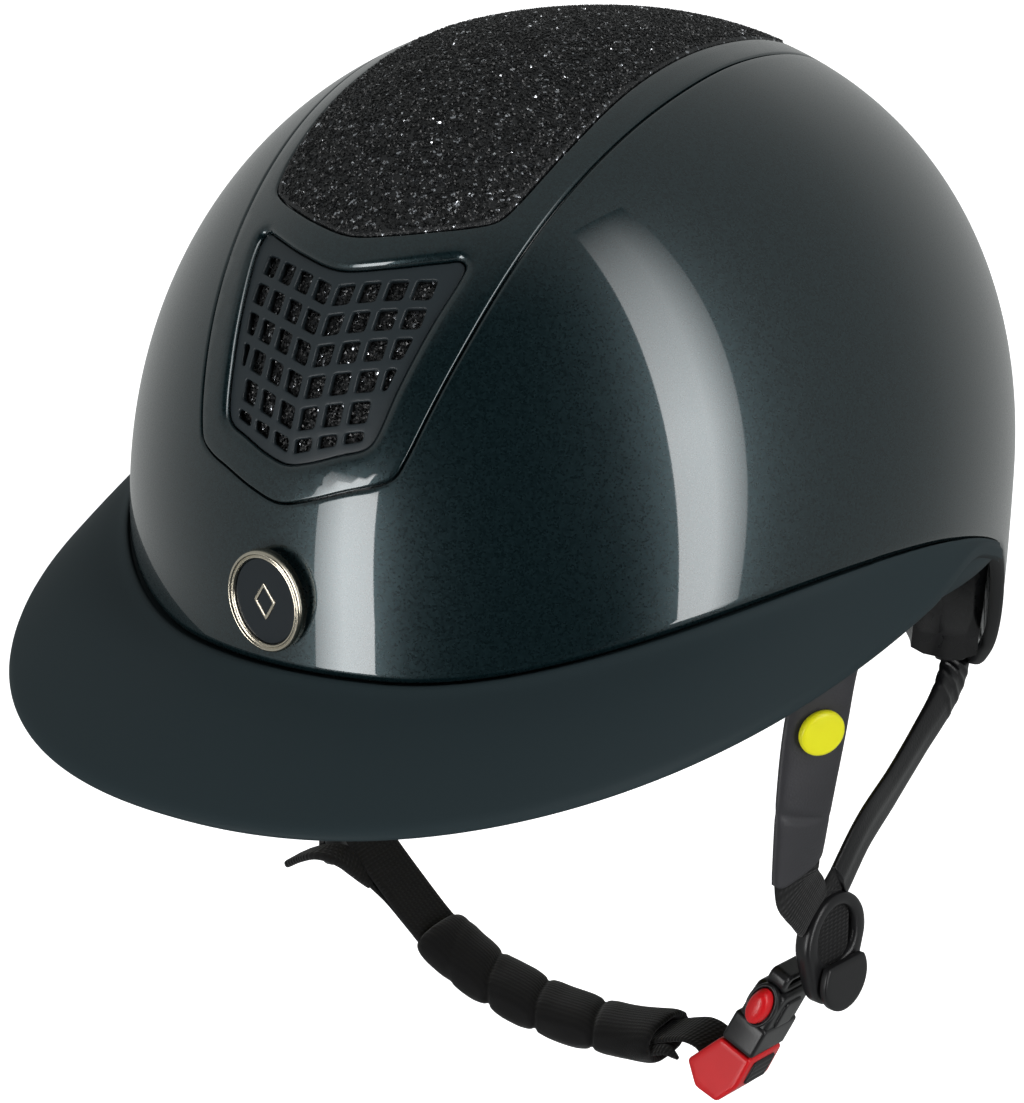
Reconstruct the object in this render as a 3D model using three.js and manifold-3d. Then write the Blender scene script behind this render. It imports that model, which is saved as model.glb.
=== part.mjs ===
// Equestrian riding helmet: glossy shell with a wide peak, an impact liner, a rotating
// slip liner, and a buckled chin harness. Millimetres, +Z up. The helmet faces -Y, the
// wearer's left is +X, and the origin is the centre of the head opening at brow height.
import * as THREE from 'three';
import { mergeVertices } from 'three/addons/utils/BufferGeometryUtils.js';
import Module from 'manifold-3d';

const wasm = await Module();
wasm.setup();

// ---------------------------------------------------------------- driving dimensions

const DOME = {
  halfWidth: 107.1,      // outside of the shell, at its widest level
  frontLength: 122.9,
  rearLength: 138.7,
  planPower: 1.9,        // below 2: a little more pointed than an ellipse in plan
  heightAbove: 117.5,    // from the widest level to the crown
  heightBelow: 227,      // large, so the side walls are nearly upright below that level
  powerAbove: 2.13,
  powerBelow: 2.29,
  lean: 0.031,           // each level sits this much further back per mm of height
  widestLevel: 25.2,
};
const GAP = 0.3;               // left between pieces that touch
const LAYER_GAP = 1.4;           // left between curved layers, which are faceted differently
const SHELL_THICKNESS = 3.2;
const POCKET_DEPTH = 1.6;      // sunk into the shell for the centre frame
const EPS_INSET = SHELL_THICKNESS + LAYER_GAP;
const EPS_THICKNESS = 17.4;
const SLIP_CLEARANCE = 2.6;    // lets the slip liner turn inside the impact liner
const SLIP_INSET = EPS_INSET + EPS_THICKNESS + SLIP_CLEARANCE;
const SLIP_THICKNESS = 1;
const PAD_INSET = SLIP_INSET + SLIP_THICKNESS + LAYER_GAP;
const PAD_THICKNESS = 4.6;
const VENT_INSET = 1.7;        // the vent grille lies below the shell's surface

const PEAK = {
  halfWidth: 112.16,
  reach: 140.59,
  centreY: -20.3,
  power: 2.19,
  heights: [-9.57, 27.12, 6.74, -4.9],  // edge height as a cubic in 1 - cos
  thickness: 2.6,
  crownRise: 1.5,
};
const PEAK_TURN = 107;         // the peak's band ends this many degrees round the head
const EDGE_TURN = 111;

const WEBBING_THICKNESS = 1.4;
const SLEEVE_THICKNESS = 2.6;
const DIVIDER_X = 76.5;        // middle plane of the strap divider
const DIVIDER_THICKNESS = 5;
const DIVIDER = {
  topY: 3.2, topZ: -84.6, topRadius: 12,
  lowY: 4.6, lowZ: -94.5, lowRadius: 9.5,
  turn: 10,                    // degrees that its outer face is turned to the front
};

// ---------------------------------------------------------------- small maths

const RAD = Math.PI / 180;
const vec = (x, y, z) => new THREE.Vector3(x, y, z);
const signedPower = (value, power) => Math.sign(value) * Math.abs(value) ** power;
const lerp = THREE.MathUtils.lerp;
const smoothstep = THREE.MathUtils.smoothstep;

function turnFromFront(theta) {
  // degrees away from the front, 0 to 180, for any angle in radians
  const wrapped = THREE.MathUtils.euclideanModulo(theta / RAD, 360);
  return Math.min(wrapped, 360 - wrapped);
}

// ---------------------------------------------------------------- the dome

function domeAtParameter(theta, alpha, inset) {
  const above = alpha > 0;
  const height = above ? DOME.heightAbove - inset : DOME.heightBelow;
  const power = 2 / (above ? DOME.powerAbove : DOME.powerBelow);
  const rise = height * signedPower(Math.sin(alpha), power);
  const reach = Math.abs(Math.cos(alpha)) ** power;
  const length = Math.cos(theta) > 0 ? DOME.frontLength : DOME.rearLength;
  const plan = 2 / DOME.planPower;
  return vec(
    (DOME.halfWidth - inset) * reach * signedPower(Math.sin(theta), plan),
    -(length - inset) * reach * signedPower(Math.cos(theta), plan) + DOME.lean * rise,
    DOME.widestLevel + rise,
  );
}

function parameterAtHeight(z, inset) {
  const rise = z - DOME.widestLevel;
  const height = rise > 0 ? DOME.heightAbove - inset : DOME.heightBelow;
  const power = rise > 0 ? DOME.powerAbove : DOME.powerBelow;
  const ratio = Math.min(1, Math.abs(rise) / height);
  return Math.sign(rise) * Math.asin(ratio ** (power / 2));
}

const domeAtHeight = (theta, z, inset) => domeAtParameter(theta, parameterAtHeight(z, inset), inset);

// ---------------------------------------------------------------- edge heights

const NAPE_LEVEL = -36;

function shellEdge(theta) {
  // lower edge of the glossy shell: low at the brow, high over the ear, low at the nape
  const turn = turnFromFront(theta);
  if (turn < 74.1) return 12.2 + 18.2 * smoothstep(turn, 15, 74.1);
  const arch = 30.4 - 4 * ((turn - 74.1) / 18) ** 2.18 - 14 * smoothstep(turn, 107, 127);
  const rounding = 6;
  return (arch + NAPE_LEVEL + Math.hypot(arch - NAPE_LEVEL, rounding)) / 2;
}

function rimHeight(theta) {
  // lowest edge of the whole hard helmet, with the peak's inner band at the front
  const turn = turnFromFront(theta);
  const band = -10 + 24 * smoothstep(turn, 20, 80);
  return turn < 80 ? band : Math.min(14, shellEdge(theta));
}

const epsEdge = (theta) => rimHeight(theta) + lerp(2, 5, smoothstep(turnFromFront(theta), 95, 125));
const slipEdge = (theta) => rimHeight(theta) + lerp(6, 34, smoothstep(turnFromFront(theta), 96, 116));

// ---------------------------------------------------------------- solids and cuts

function withoutExtras(geometry) {
  const bare = geometry.clone();
  bare.deleteAttribute('normal');
  bare.deleteAttribute('uv');
  return mergeVertices(bare, 1e-4);
}

function facingOut(geometry) {
  const merged = withoutExtras(geometry);
  const index = merged.index.array;
  const position = merged.attributes.position;
  const [a, b, c] = [vec(), vec(), vec()];
  const kept = [];
  let volume = 0;
  for (let i = 0; i < index.length; i += 3) {
    const corners = [index[i], index[i + 1], index[i + 2]];
    if (new Set(corners).size < 3) continue;
    kept.push(...corners);
    a.fromBufferAttribute(position, corners[0]);
    b.fromBufferAttribute(position, corners[1]);
    c.fromBufferAttribute(position, corners[2]);
    volume += a.dot(b.cross(c));
  }
  merged.setIndex(volume < 0 ? kept.reverse() : kept);
  return merged;
}

function solid(geometry) {
  const closed = facingOut(geometry);
  const mesh = new wasm.Mesh({
    numProp: 3,
    vertProperties: new Float32Array(closed.attributes.position.array),
    triVerts: new Uint32Array(closed.index.array),
  });
  return new wasm.Manifold(mesh);
}

function geometryOf(manifold) {
  const mesh = manifold.getMesh();
  const geometry = new THREE.BufferGeometry();
  geometry.setAttribute('position', new THREE.BufferAttribute(mesh.vertProperties, 3));
  geometry.setIndex(new THREE.BufferAttribute(mesh.triVerts, 1));
  return geometry;
}

function lathed(profile, place, segments) {
  // a lathe whose profile points [level, inset] are put in place round the head
  const points = profile.map(([level, inset]) => new THREE.Vector2(inset, level));
  const geometry = new THREE.LatheGeometry(points, segments);
  const position = geometry.attributes.position;
  for (let i = 0; i <= segments; i += 1) {
    const theta = ((i % segments) / segments) * 2 * Math.PI;
    profile.forEach(([level, inset], j) => {
      const p = place(theta, level, inset);
      position.setXYZ(i * profile.length + j, p.x, p.y, p.z);
    });
  }
  return geometry;
}

function swept(section, steps, place) {
  // a section of [across, up] points, carried along s = 0 to 1 and put in place
  const shape = new THREE.Shape(section.map(([x, y]) => new THREE.Vector2(x, y)));
  const geometry = new THREE.ExtrudeGeometry(shape, { steps, depth: 1, bevelEnabled: false });
  const position = geometry.attributes.position;
  for (let i = 0; i < position.count; i += 1) {
    const p = place(position.getX(i), position.getY(i), position.getZ(i));
    position.setXYZ(i, p.x, p.y, p.z);
  }
  return geometry;
}

function domeLayer(outerInset, thickness, edge, segments, rings) {
  const levels = Array.from({ length: rings + 1 }, (_, i) => 1 - i / rings);
  const profile = [
    ...levels.map((level) => [level, outerInset]),
    ...levels.toReversed().map((level) => [level, outerInset + thickness]),
  ];
  const place = (theta, level, inset) => {
    const low = parameterAtHeight(edge(theta), inset);
    const p = domeAtParameter(theta, lerp(low, Math.PI / 2, level), inset);
    if (level === 1) p.set(0, p.y, p.z);
    return p;
  };
  return solid(lathed(profile, place, segments));
}

function domeBlock(outerInset, innerInset, segments = 40, rings = 11) {
  return domeLayer(outerInset, innerInset - outerInset, () => -30, segments, rings);
}

// ---------------------------------------------------------------- top panels

const PANEL_RADIUS = 118;      // turns degrees over the crown into mm along the shell

function mirrored(half) {
  // half an outline, [half-width, degrees up from the front], closed by its mirror image
  const left = half.filter(([x]) => x > 0).map(([x, angle]) => [-x, angle]);
  return [...half, ...left.reverse()];
}

function grown(outline, distance) {
  // the outline moved outwards by a distance in mm
  const flat = outline.map(([x, angle]) => new THREE.Vector2(x, angle * RAD * PANEL_RADIUS));
  const outwards = THREE.ShapeUtils.area(flat) > 0 ? 1 : -1;
  return flat.map((point, i) => {
    const before = flat.at(i - 1);
    const after = flat[(i + 1) % flat.length];
    const enter = point.clone().sub(before).normalize();
    const leave = after.clone().sub(point).normalize();
    const middle = enter.clone().add(leave).normalize();
    const normal = new THREE.Vector2(middle.y, -middle.x).multiplyScalar(outwards);
    const reach = distance / Math.max(0.5, middle.dot(enter));
    return [point.x + normal.x * reach, (point.y + normal.y * reach) / PANEL_RADIUS / RAD];
  });
}

function wedge(outline) {
  // everything inside the outline, from deep in the head to far outside the shell
  const inner = 30;
  const outer = 320;
  return solid(swept(outline, 1, (x, angle, s) => {
    const radius = lerp(inner, outer, s);
    return vec(x, -radius * Math.cos(angle * RAD), DOME.widestLevel + radius * Math.sin(angle * RAD));
  }));
}

const FRAME = mirrored([
  [0, 11.4], [8, 12.3], [17, 13.9], [22.8, 14.9], [26.6, 16.1], [28.3, 18], [30.9, 22.8],
  [34.7, 31.5], [37.3, 39.5], [40.4, 52], [43, 67], [43.9, 81], [42.4, 97], [38.5, 113],
  [33, 128], [26, 142], [22, 148], [16, 152], [8, 153.6], [0, 154],
]);
const INSERT = mirrored([
  [0, 40.8], [11.1, 41.9], [19.4, 43.4], [26.3, 45], [31.4, 46.8], [33, 50], [35.4, 60],
  [35.7, 72], [35.4, 88], [34, 100], [30.5, 112], [27, 119], [22, 121.5], [12, 122.8], [0, 123.2],
]);
const FRONT_VENT = mirrored([
  [0, 15.4], [6, 16], [13.6, 17.4], [19.7, 18.5], [21, 20], [23.5, 25.7], [26.3, 32.6],
  [28.9, 39], [28.4, 41], [23.6, 40.2], [13, 38.2], [0, 36.8],
]);
const REAR_VENT = mirrored([
  [0, 128.4], [12, 128], [19, 127.4], [20.6, 129], [15.5, 143], [13, 145], [6, 146], [0, 146.2],
]);

function panel(outline, outerInset, innerInset) {
  return wedge(outline).intersect(domeBlock(outerInset, innerInset));
}

function ventPanel(outline, outerInset, innerInset) {
  // the small vents need fewer facets than the panels on the crown
  return wedge(outline).intersect(domeBlock(outerInset, innerInset, 32, 9));
}

function ventHoles(outline, first, last, pitch, slope) {
  // rows of nearly square holes that rise away from the middle, kept inside a border
  const columns = [3.1, 9.3, 15.5, 21.7];
  const half = 2.3;
  const tall = 1.25;
  const holes = [];
  for (let row = first; row <= last; row += pitch) {
    for (const x of [...columns, ...columns.map((value) => -value)]) {
      const low = row + slope * Math.abs(x - half) - tall;
      const high = row + slope * Math.abs(x + half) - tall;
      holes.push(wedge([
        [x - half, low], [x + half, high], [x + half, high + 2 * tall], [x - half, low + 2 * tall],
      ]));
    }
  }
  return wasm.Manifold.union(holes).intersect(wedge(grown(outline, -1.7)));
}

// ---------------------------------------------------------------- hard shells

function outerShell() {
  const blank = domeLayer(0, SHELL_THICKNESS, shellEdge, 44, 11);
  const pocket = panel(grown(FRAME, 0.35), -3, POCKET_DEPTH);
  const windows = wedge(grown(FRONT_VENT, 0.35)).add(wedge(grown(REAR_VENT, 0.35)));
  return blank.subtract(pocket).subtract(windows);
}

function centreFrame() {
  const plate = panel(FRAME, 0, POCKET_DEPTH - GAP);
  const openings = [INSERT, FRONT_VENT, REAR_VENT].map((outline) => wedge(grown(outline, 0.35)));
  return plate.subtract(wasm.Manifold.union(openings));
}

function ventGrille(outline, holes) {
  return ventPanel(outline, VENT_INSET, SHELL_THICKNESS).subtract(holes);
}

function impactLiner() {
  const blank = domeLayer(EPS_INSET, EPS_THICKNESS, epsEdge, 36, 8);
  const seats = [FRONT_VENT, REAR_VENT].map((outline) => ventPanel(grown(outline, 0.9), 2, EPS_INSET + 1.2));
  const frontDuct = wedge(mirrored([[0, 22], [10, 22], [13, 35], [0, 35]]));
  const rearDuct = wedge(mirrored([[0, 131], [11, 131], [8, 143], [0, 143]]));
  return blank.subtract(wasm.Manifold.union([...seats, frontDuct, rearDuct]));
}

const SLIP_ANCHORS = [
  { theta: 55, alpha: 40 }, { theta: -55, alpha: 40 }, { theta: 125, alpha: 42 }, { theta: -125, alpha: 42 },
];

function pinThroughDome({ theta, alpha }, radius, outerInset, innerInset) {
  // a round pin square to the dome, between two depths
  const outer = domeAtParameter(theta * RAD, alpha * RAD, outerInset);
  const inner = domeAtParameter(theta * RAD, alpha * RAD, innerInset);
  const pin = new THREE.CylinderGeometry(radius, radius, outer.distanceTo(inner), 14);
  const turn = new THREE.Quaternion().setFromUnitVectors(vec(0, 1, 0), outer.clone().sub(inner).normalize());
  const middle = outer.clone().add(inner).multiplyScalar(0.5);
  return pin.applyQuaternion(turn).translate(middle.x, middle.y, middle.z);
}

function slipLiner() {
  const blank = domeLayer(SLIP_INSET, SLIP_THICKNESS, slipEdge, 36, 7);
  const holes = SLIP_ANCHORS.map((place) => solid(pinThroughDome(place, 8.5, SLIP_INSET - 5, SLIP_INSET + 6)));
  const duct = wedge(mirrored([[0, 24], [9, 24], [11, 34], [0, 34]]));
  return blank.subtract(wasm.Manifold.union([...holes, duct]));
}

// ---------------------------------------------------------------- peak and edge trim

function peakEdge(s) {
  const phi = s * EDGE_TURN * RAD;
  const power = 2 / PEAK.power;
  const fold = 1 - Math.cos(phi);
  const [base, first, second, third] = PEAK.heights;
  const outer = vec(
    PEAK.halfWidth * signedPower(Math.sin(phi), power),
    PEAK.centreY - PEAK.reach * signedPower(Math.cos(phi), power),
    base + first * fold + second * fold ** 2 + third * fold ** 3,
  );
  const theta = s * PEAK_TURN * RAD;
  const lip = domeAtHeight(theta, shellEdge(theta) - 1.6, -1.3);
  return outer.lerp(lip, smoothstep(Math.abs(s), 0.86, 0.965));
}

function peakPlace(d, h, s) {
  // d: mm out from the shell on the centre line, or minus the depth inside its surface
  const span = 2 * s - 1;
  const theta = span * PEAK_TURN * RAD;
  const top = shellEdge(theta) - 0.5;
  const frontReach = 38;
  const frontBand = 21.7;
  if (d <= 0) return domeAtHeight(theta, top + (h / frontBand) * (top - rimHeight(theta)), -d);
  const along = d / frontReach;
  const root = domeAtHeight(theta, top, 0);
  const p = root.lerp(peakEdge(span), along);
  p.z += h + PEAK.crownRise * 4 * along * (1 - along) * (1 - Math.abs(span));
  return p;
}

function peak() {
  const t = PEAK.thickness;
  const section = [
    [0, 0], [4, 0], [12, 0], [22, 0], [31, 0], [37, -0.2], [38, -t / 2], [37, -t + 0.2], [31, -t], [20, -t],
    [10, -t], [2.2, -t], [0, -t - 1.6], [0, -21.7], [-SHELL_THICKNESS, -21.7], [-SHELL_THICKNESS, 0],
  ];
  return swept(section, 44, peakPlace);
}

function edgeTrim() {
  // rubber lip under the shell's rear edge, from one end of the peak to the other
  const start = (PEAK_TURN + 0.5) * RAD;
  const section = [[-0.7, -1.8], [-0.7, -2.6], [0.6, -3.5], [2.6, -3.5], [3.4, -2.6], [3.4, -1.8]];
  return swept(section, 36, (inset, h, s) => {
    const theta = lerp(start, 2 * Math.PI - start, s);
    return domeAtHeight(theta, shellEdge(theta) + h, inset);
  });
}

// ---------------------------------------------------------------- soft lining

function liningBand(fromTurn, toTurn, outerInset, thickness, low, high, steps) {
  const [a, b] = [outerInset, outerInset + thickness];
  const up = [0.03, 0.34, 0.66, 0.97];
  const down = [0.9, 0.64, 0.36, 0.1];
  const section = [
    ...up.map((share) => [a, share]), [a + 1.5, 1], [b - 1.5, 1],
    ...down.map((share) => [b, share]), [b - 1.5, 0], [a + 1.5, 0],
  ];
  return swept(section, steps, (inset, share, s) => {
    const theta = lerp(fromTurn, toTurn, s) * RAD;
    return domeAtHeight(theta, lerp(low(theta), high(theta), share), inset);
  });
}

function crownPad() {
  const levels = [1, 0.75, 0.5, 0.25, 0];
  const profile = [
    ...levels.map((level) => [level, PAD_INSET]),
    ...levels.toReversed().map((level) => [level, PAD_INSET + 4]),
  ];
  const place = (theta, level, inset) => {
    const p = domeAtParameter(theta, lerp(58 * RAD, Math.PI / 2, level), inset);
    if (level === 1) p.set(0, p.y, p.z);
    return p;
  };
  return lathed(profile, place, 32);
}

// ---------------------------------------------------------------- straps

function along(points) {
  return new THREE.CatmullRomCurve3(points.map(([x, y, z]) => vec(x, y, z)), false, 'centripetal');
}

function ribbonPlace(points, widths) {
  // puts (across, through) beside a centre line; widths are the strap's sideways directions
  const line = along(points);
  const sideways = along(widths);
  return (across, through, s) => {
    const tangent = line.getTangent(s);
    const wide = sideways.getPoint(s);
    const normal = tangent.clone().cross(wide).normalize();
    const side = normal.clone().cross(tangent).normalize();
    return line.getPoint(s).addScaledVector(side, across).addScaledVector(normal, through);
  };
}

function ribbon(points, widths, width, thickness, steps) {
  const [w, t] = [width / 2, thickness / 2];
  const section = [[-w, -t], [w, -t], [w, t], [-w, t]];
  return swept(section, steps, ribbonPlace(points, widths));
}

const STRAPS = {
  front_sleeve: {
    points: [[88, -14, 9.5], [85.5, -18, -2], [82.8, -19.5, -17], [80, -18.9, -39], [77.5, -17, -59.5]],
    widths: [[0.3, 0.95, -0.05], [0.5, 0.86, 0], [0.56, 0.83, 0], [0.45, 0.89, 0.05], [0.3, 0.95, 0.1]],
    width: 17.5, thickness: SLEEVE_THICKNESS, steps: 14,
  },
  front_webbing: {
    points: [[77.4, -16.8, -62.9], [77.2, -15.6, -66], [77, -12, -70], [76.9, -7.8, -73]],
    widths: [[0.3, 0.95, 0.1], [0.2, 1, 0.2], [0.1, 1, 0.5], [0, 1, 0.6]],
    width: 15, thickness: WEBBING_THICKNESS, steps: 4,
  },
  rear_sleeve: {
    points: [[72.2, 82.6, -37], [73, 77.8, -40.6], [73.7, 71, -44], [74.4, 56.5, -50], [75.8, 38, -56], [77.6, 18, -60], [78.4, 9.5, -64.5]],
    widths: [[-0.56, 0.83, 0.1], [-0.3, 0.75, 0.4], [-0.05, 0.65, 0.75], [0, 0.6, 0.8], [0.1, 0.6, 0.75]],
    width: 15, thickness: SLEEVE_THICKNESS, steps: 14,
  },
};

function strap(name, side) {
  const { points, widths, width, thickness, steps } = STRAPS[name];
  const flip = ([x, y, z]) => [side * x, y, z];
  return ribbon(points.map(flip), widths.map(flip), width, thickness, steps);
}

// ---------------------------------------------------------------- plates, discs and dividers

function roundedRectangle(width, height, radius) {
  const [w, h] = [width / 2 - radius, height / 2 - radius];
  const shape = new THREE.Shape();
  shape.absarc(w, h, radius, 0, Math.PI / 2);
  shape.absarc(-w, h, radius, Math.PI / 2, Math.PI);
  shape.absarc(-w, -h, radius, Math.PI, 1.5 * Math.PI);
  shape.absarc(w, -h, radius, 1.5 * Math.PI, 2 * Math.PI);
  return shape;
}

function plate(shape, depth, curveSegments = 5) {
  return new THREE.ExtrudeGeometry(shape, { depth, bevelEnabled: false, curveSegments });
}

function droplet(grow) {
  // two circles and the sides that join them, in the plane of the divider
  const { topY, topZ, topRadius, lowY, lowZ, lowRadius } = DIVIDER;
  const slope = Math.atan2(topZ - lowZ, topY - lowY);
  const reach = Math.hypot(topY - lowY, topZ - lowZ);
  const spread = Math.PI / 2 + Math.asin((topRadius - lowRadius) / reach);
  const shape = new THREE.Shape();
  shape.absarc(topY, topZ, topRadius + grow, slope - spread, slope + spread, false);
  shape.absarc(lowY, lowZ, lowRadius + grow, slope + spread, slope - spread + 2 * Math.PI, false);
  return shape;
}

function dividerFrame() {
  const shape = droplet(0);
  const slot = new THREE.Path();
  slot.absarc(3.2, -83.1, 7.2, 0, Math.PI, false);
  slot.absarc(3.4, -85.1, 7.2, Math.PI, 2 * Math.PI, false);
  shape.holes.push(slot);
  return plate(shape, DIVIDER_THICKNESS, 9).translate(0, 0, -DIVIDER_THICKNESS / 2);
}

function lockFlap() {
  // a disc cut straight along its hinge, which is the frame's cross bar
  const shape = new THREE.Shape();
  shape.absarc(5, -95.8, 8.8, 145 * RAD, 395 * RAD, false);
  return plate(shape, 2.4, 10).translate(0, 0, DIVIDER_THICKNESS / 2 + 0.4);
}

// ---------------------------------------------------------------- chin strap and buckle

const BUCKLE = {
  top: vec(67.6, 0, -97.15),
  axis: vec(-0.4, 0, -0.9165).normalize(),
  width: 18,
  depth: 9.5,
  length: 23,
  buttonPlace: 7.4,            // from the top, along the axis
};

const CHIN = {
  right_webbing: {
    points: [[-71.2, 0, -86], [-66, 0, -92.5], [-55, 0, -103.5], [-44.6, 0, -113]],
    width: 18, thickness: WEBBING_THICKNESS, steps: 8,
  },
  left_webbing: {
    points: [[37.8, 0, -122.4], [41.4, 0, -120.6], [45, 0, -119.9]],
    width: 16, thickness: WEBBING_THICKNESS, steps: 3,
  },
};
const CHIN_PAD = {
  points: [[-44, 0, -113.6], [-34, 0, -119.6], [-22.5, 0, -124.5], [-3, 0, -128.2], [17, 0, -127.6], [32.5, 0, -124.8]],
  halfWidth: 11.5,
  halfDepth: 6,
  bulges: 5,
};
const ACROSS = [[0, 1, 0], [0, 1, 0], [0, 1, 0]];

function chinWebbing(name) {
  const { points, width, thickness, steps } = CHIN[name];
  return ribbon(points, ACROSS, width, thickness, steps);
}

function chinPad() {
  const sides = 10;
  const section = Array.from({ length: sides }, (_, i) => {
    const angle = ((i + 0.5) / sides) * 2 * Math.PI;
    return [CHIN_PAD.halfWidth * Math.cos(angle), CHIN_PAD.halfDepth * Math.sin(angle)];
  });
  const place = ribbonPlace(CHIN_PAD.points, ACROSS);
  return swept(section, 24, (across, through, s) => {
    const bulge = 0.93 + 0.09 * Math.cos(2 * Math.PI * CHIN_PAD.bulges * s);
    return place(across * bulge, through * bulge, s);
  });
}

function buckleSpace() {
  // a group whose local +Y runs down the buckle and whose local +Z faces outwards
  const group = new THREE.Group();
  const down = BUCKLE.axis;
  const outward = vec(-down.z, 0, down.x);
  const sideways = down.clone().cross(outward);
  group.matrix.makeBasis(sideways, down, outward).setPosition(BUCKLE.top);
  group.matrix.decompose(group.position, group.quaternion, group.scale);
  return group;
}

function buckleHousing() {
  const { width, length, depth } = BUCKLE;
  const body = plate(roundedRectangle(width, length, 4), depth, 4).translate(0, length / 2, -depth / 2);
  const seat = new THREE.CylinderGeometry(4.4, 4.4, 6, 20).rotateZ(Math.PI / 2).scale(1, 1.45, 0.85);
  seat.translate(frontEdge() * (width / 2), BUCKLE.buttonPlace, 0);
  const mouth = new THREE.BoxGeometry(11, 9, 4.4).translate(0, length - 3.4, 0);
  return solid(body).subtract(solid(seat)).subtract(solid(mouth));
}

function frontEdge() {
  // which way along the buckle's own X the front of the helmet lies
  const sideways = BUCKLE.axis.clone().cross(vec(-BUCKLE.axis.z, 0, BUCKLE.axis.x));
  return sideways.y < 0 ? 1 : -1;
}

function releaseButton() {
  const button = new THREE.CylinderGeometry(3.2, 3.9, 4.6, 20).rotateZ(frontEdge() * -Math.PI / 2);
  return button.scale(1, 1.45, 0.85).translate(frontEdge() * (BUCKLE.width / 2 + 1.6), BUCKLE.buttonPlace, 0);
}

const TONGUE_START = BUCKLE.length + 0.4;

function tongueBody() {
  // a wedge in profile, [outwards, down], whose inner end holds the chin strap
  const half = BUCKLE.width / 2 + 0.6;
  const profile = [[-5.4, 0], [6, 0], [6.2, 9.8], [2.6, 17.8], [-4.8, 18.1], [-10.4, 12.6]];
  const shape = new THREE.Shape(profile.map(([out, down]) => new THREE.Vector2(out, TONGUE_START + down)));
  const body = solid(plate(shape, 2 * half).rotateY(-Math.PI / 2).translate(half, 0, 0));
  const blade = solid(new THREE.BoxGeometry(9.6, 8, 3.4).translate(0, TONGUE_START - 3, 0));
  const seat = solid(new THREE.BoxGeometry(12, 9, 2).translate(0, TONGUE_START + 5.4, 6));
  return body.add(blade).subtract(seat);
}

function tongueInset() {
  return plate(roundedRectangle(11.2, 8.2, 2.5), 1.5, 4).translate(0, TONGUE_START + 5.4, 5.3);
}

// ---------------------------------------------------------------- materials

const finish = (color, roughness, metalness = 0) => ({ color, roughness, metalness });
const FINISH = {
  lacquer: finish(0x0c1a22, 0.12, 0.3),
  peak: finish(0x26333a, 0.5),
  grille: finish(0x232b30, 0.55),
  glitter: finish(0x16181a, 0.45, 0.4),
  silver: finish(0xb9b09a, 0.25, 1),
  enamel: finish(0x151d22, 0.3),
  foam: finish(0x17181a, 0.9),
  slip: finish(0xd9c21f, 0.45),
  rubber: finish(0x111314, 0.7),
  padding: finish(0x131416, 0.95),
  leather: finish(0x2a2b30, 0.5),
  webbing: finish(0x0d0d0e, 0.85),
  black_plastic: finish(0x1a1b1c, 0.5),
  yellow: finish(0xe6dc12, 0.4),
  red: finish(0xc4161a, 0.35),
};

function piece(name, source, finishName) {
  const geometry = source instanceof THREE.BufferGeometry ? facingOut(source) : geometryOf(source);
  geometry.computeVertexNormals();
  const mesh = new THREE.Mesh(geometry, new THREE.MeshStandardMaterial(FINISH[finishName]));
  mesh.name = name;
  return mesh;
}

// ---------------------------------------------------------------- assembly

const helmet = new THREE.Group();

const hardShells = new THREE.Group();
hardShells.add(
  piece('outer_shell', outerShell(), 'lacquer'),
  piece('centre_frame', centreFrame(), 'lacquer'),
  piece('top_insert', panel(INSERT, -0.9, POCKET_DEPTH - GAP), 'glitter'),
  piece('front_vent_grille', ventGrille(FRONT_VENT, ventHoles(FRONT_VENT, 16.4, 36, 3.5, 0.13)), 'grille'),
  piece('rear_vent_grille', ventGrille(REAR_VENT, ventHoles(REAR_VENT, 130.6, 143, 3.7, 0)), 'grille'),
  piece('front_vent_mesh', ventPanel(FRONT_VENT, EPS_INSET, EPS_INSET + 0.8), 'glitter'),
  piece('rear_vent_mesh', ventPanel(REAR_VENT, EPS_INSET, EPS_INSET + 0.8), 'glitter'),
  piece('peak', peak(), 'peak'),
  piece('rear_edge_trim', edgeTrim(), 'rubber'),
  piece('impact_liner', impactLiner(), 'foam'),
);
helmet.add(hardShells);

const BADGE = { halfWidth: 10.2, halfHeight: 12, height: 28, tilt: 3.5 };

function oval(halfWidth, halfHeight) {
  const shape = new THREE.Shape();
  shape.absellipse(0, 0, halfWidth, halfHeight, 0, 2 * Math.PI, false, 0);
  return shape;
}

const badge = new THREE.Group();
const bezelShape = oval(BADGE.halfWidth, BADGE.halfHeight);
bezelShape.holes.push(oval(BADGE.halfWidth - 1.8, BADGE.halfHeight - 1.8));
badge.add(
  piece('badge_bezel', plate(bezelShape, 2.8, 14), 'silver'),
  piece('badge_plate', plate(oval(BADGE.halfWidth - 2.1, BADGE.halfHeight - 2.1), 1.9, 14), 'enamel'),
);
badge.rotation.x = (90 + BADGE.tilt) * RAD;
badge.position.set(0, domeAtHeight(0, BADGE.height, 0).y - 1.1, BADGE.height);
helmet.add(badge);

const lining = new THREE.Group();
const bandTop = (theta) => slipEdge(theta) + 30;
const napeLow = (theta) => shellEdge(theta) - 1;
const napeHigh = (theta) => shellEdge(theta) + 24;
lining.add(
  piece('slip_liner', slipLiner(), 'slip'),
  piece('headband_pad', liningBand(-94, 94, PAD_INSET, PAD_THICKNESS, slipEdge, bandTop, 40), 'padding'),
  piece('crown_pad', crownPad(), 'padding'),
  piece('nape_pad', liningBand(126, 234, EPS_INSET + EPS_THICKNESS + LAYER_GAP, 7, napeLow, napeHigh, 28), 'padding'),
);
SLIP_ANCHORS.forEach((place, i) => {
  const pin = pinThroughDome(place, 3, EPS_INSET + EPS_THICKNESS + 1.2, SLIP_INSET + SLIP_THICKNESS);
  lining.add(piece(`slip_anchor_${i + 1}`, pin, 'rubber'));
});
helmet.add(lining);

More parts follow.
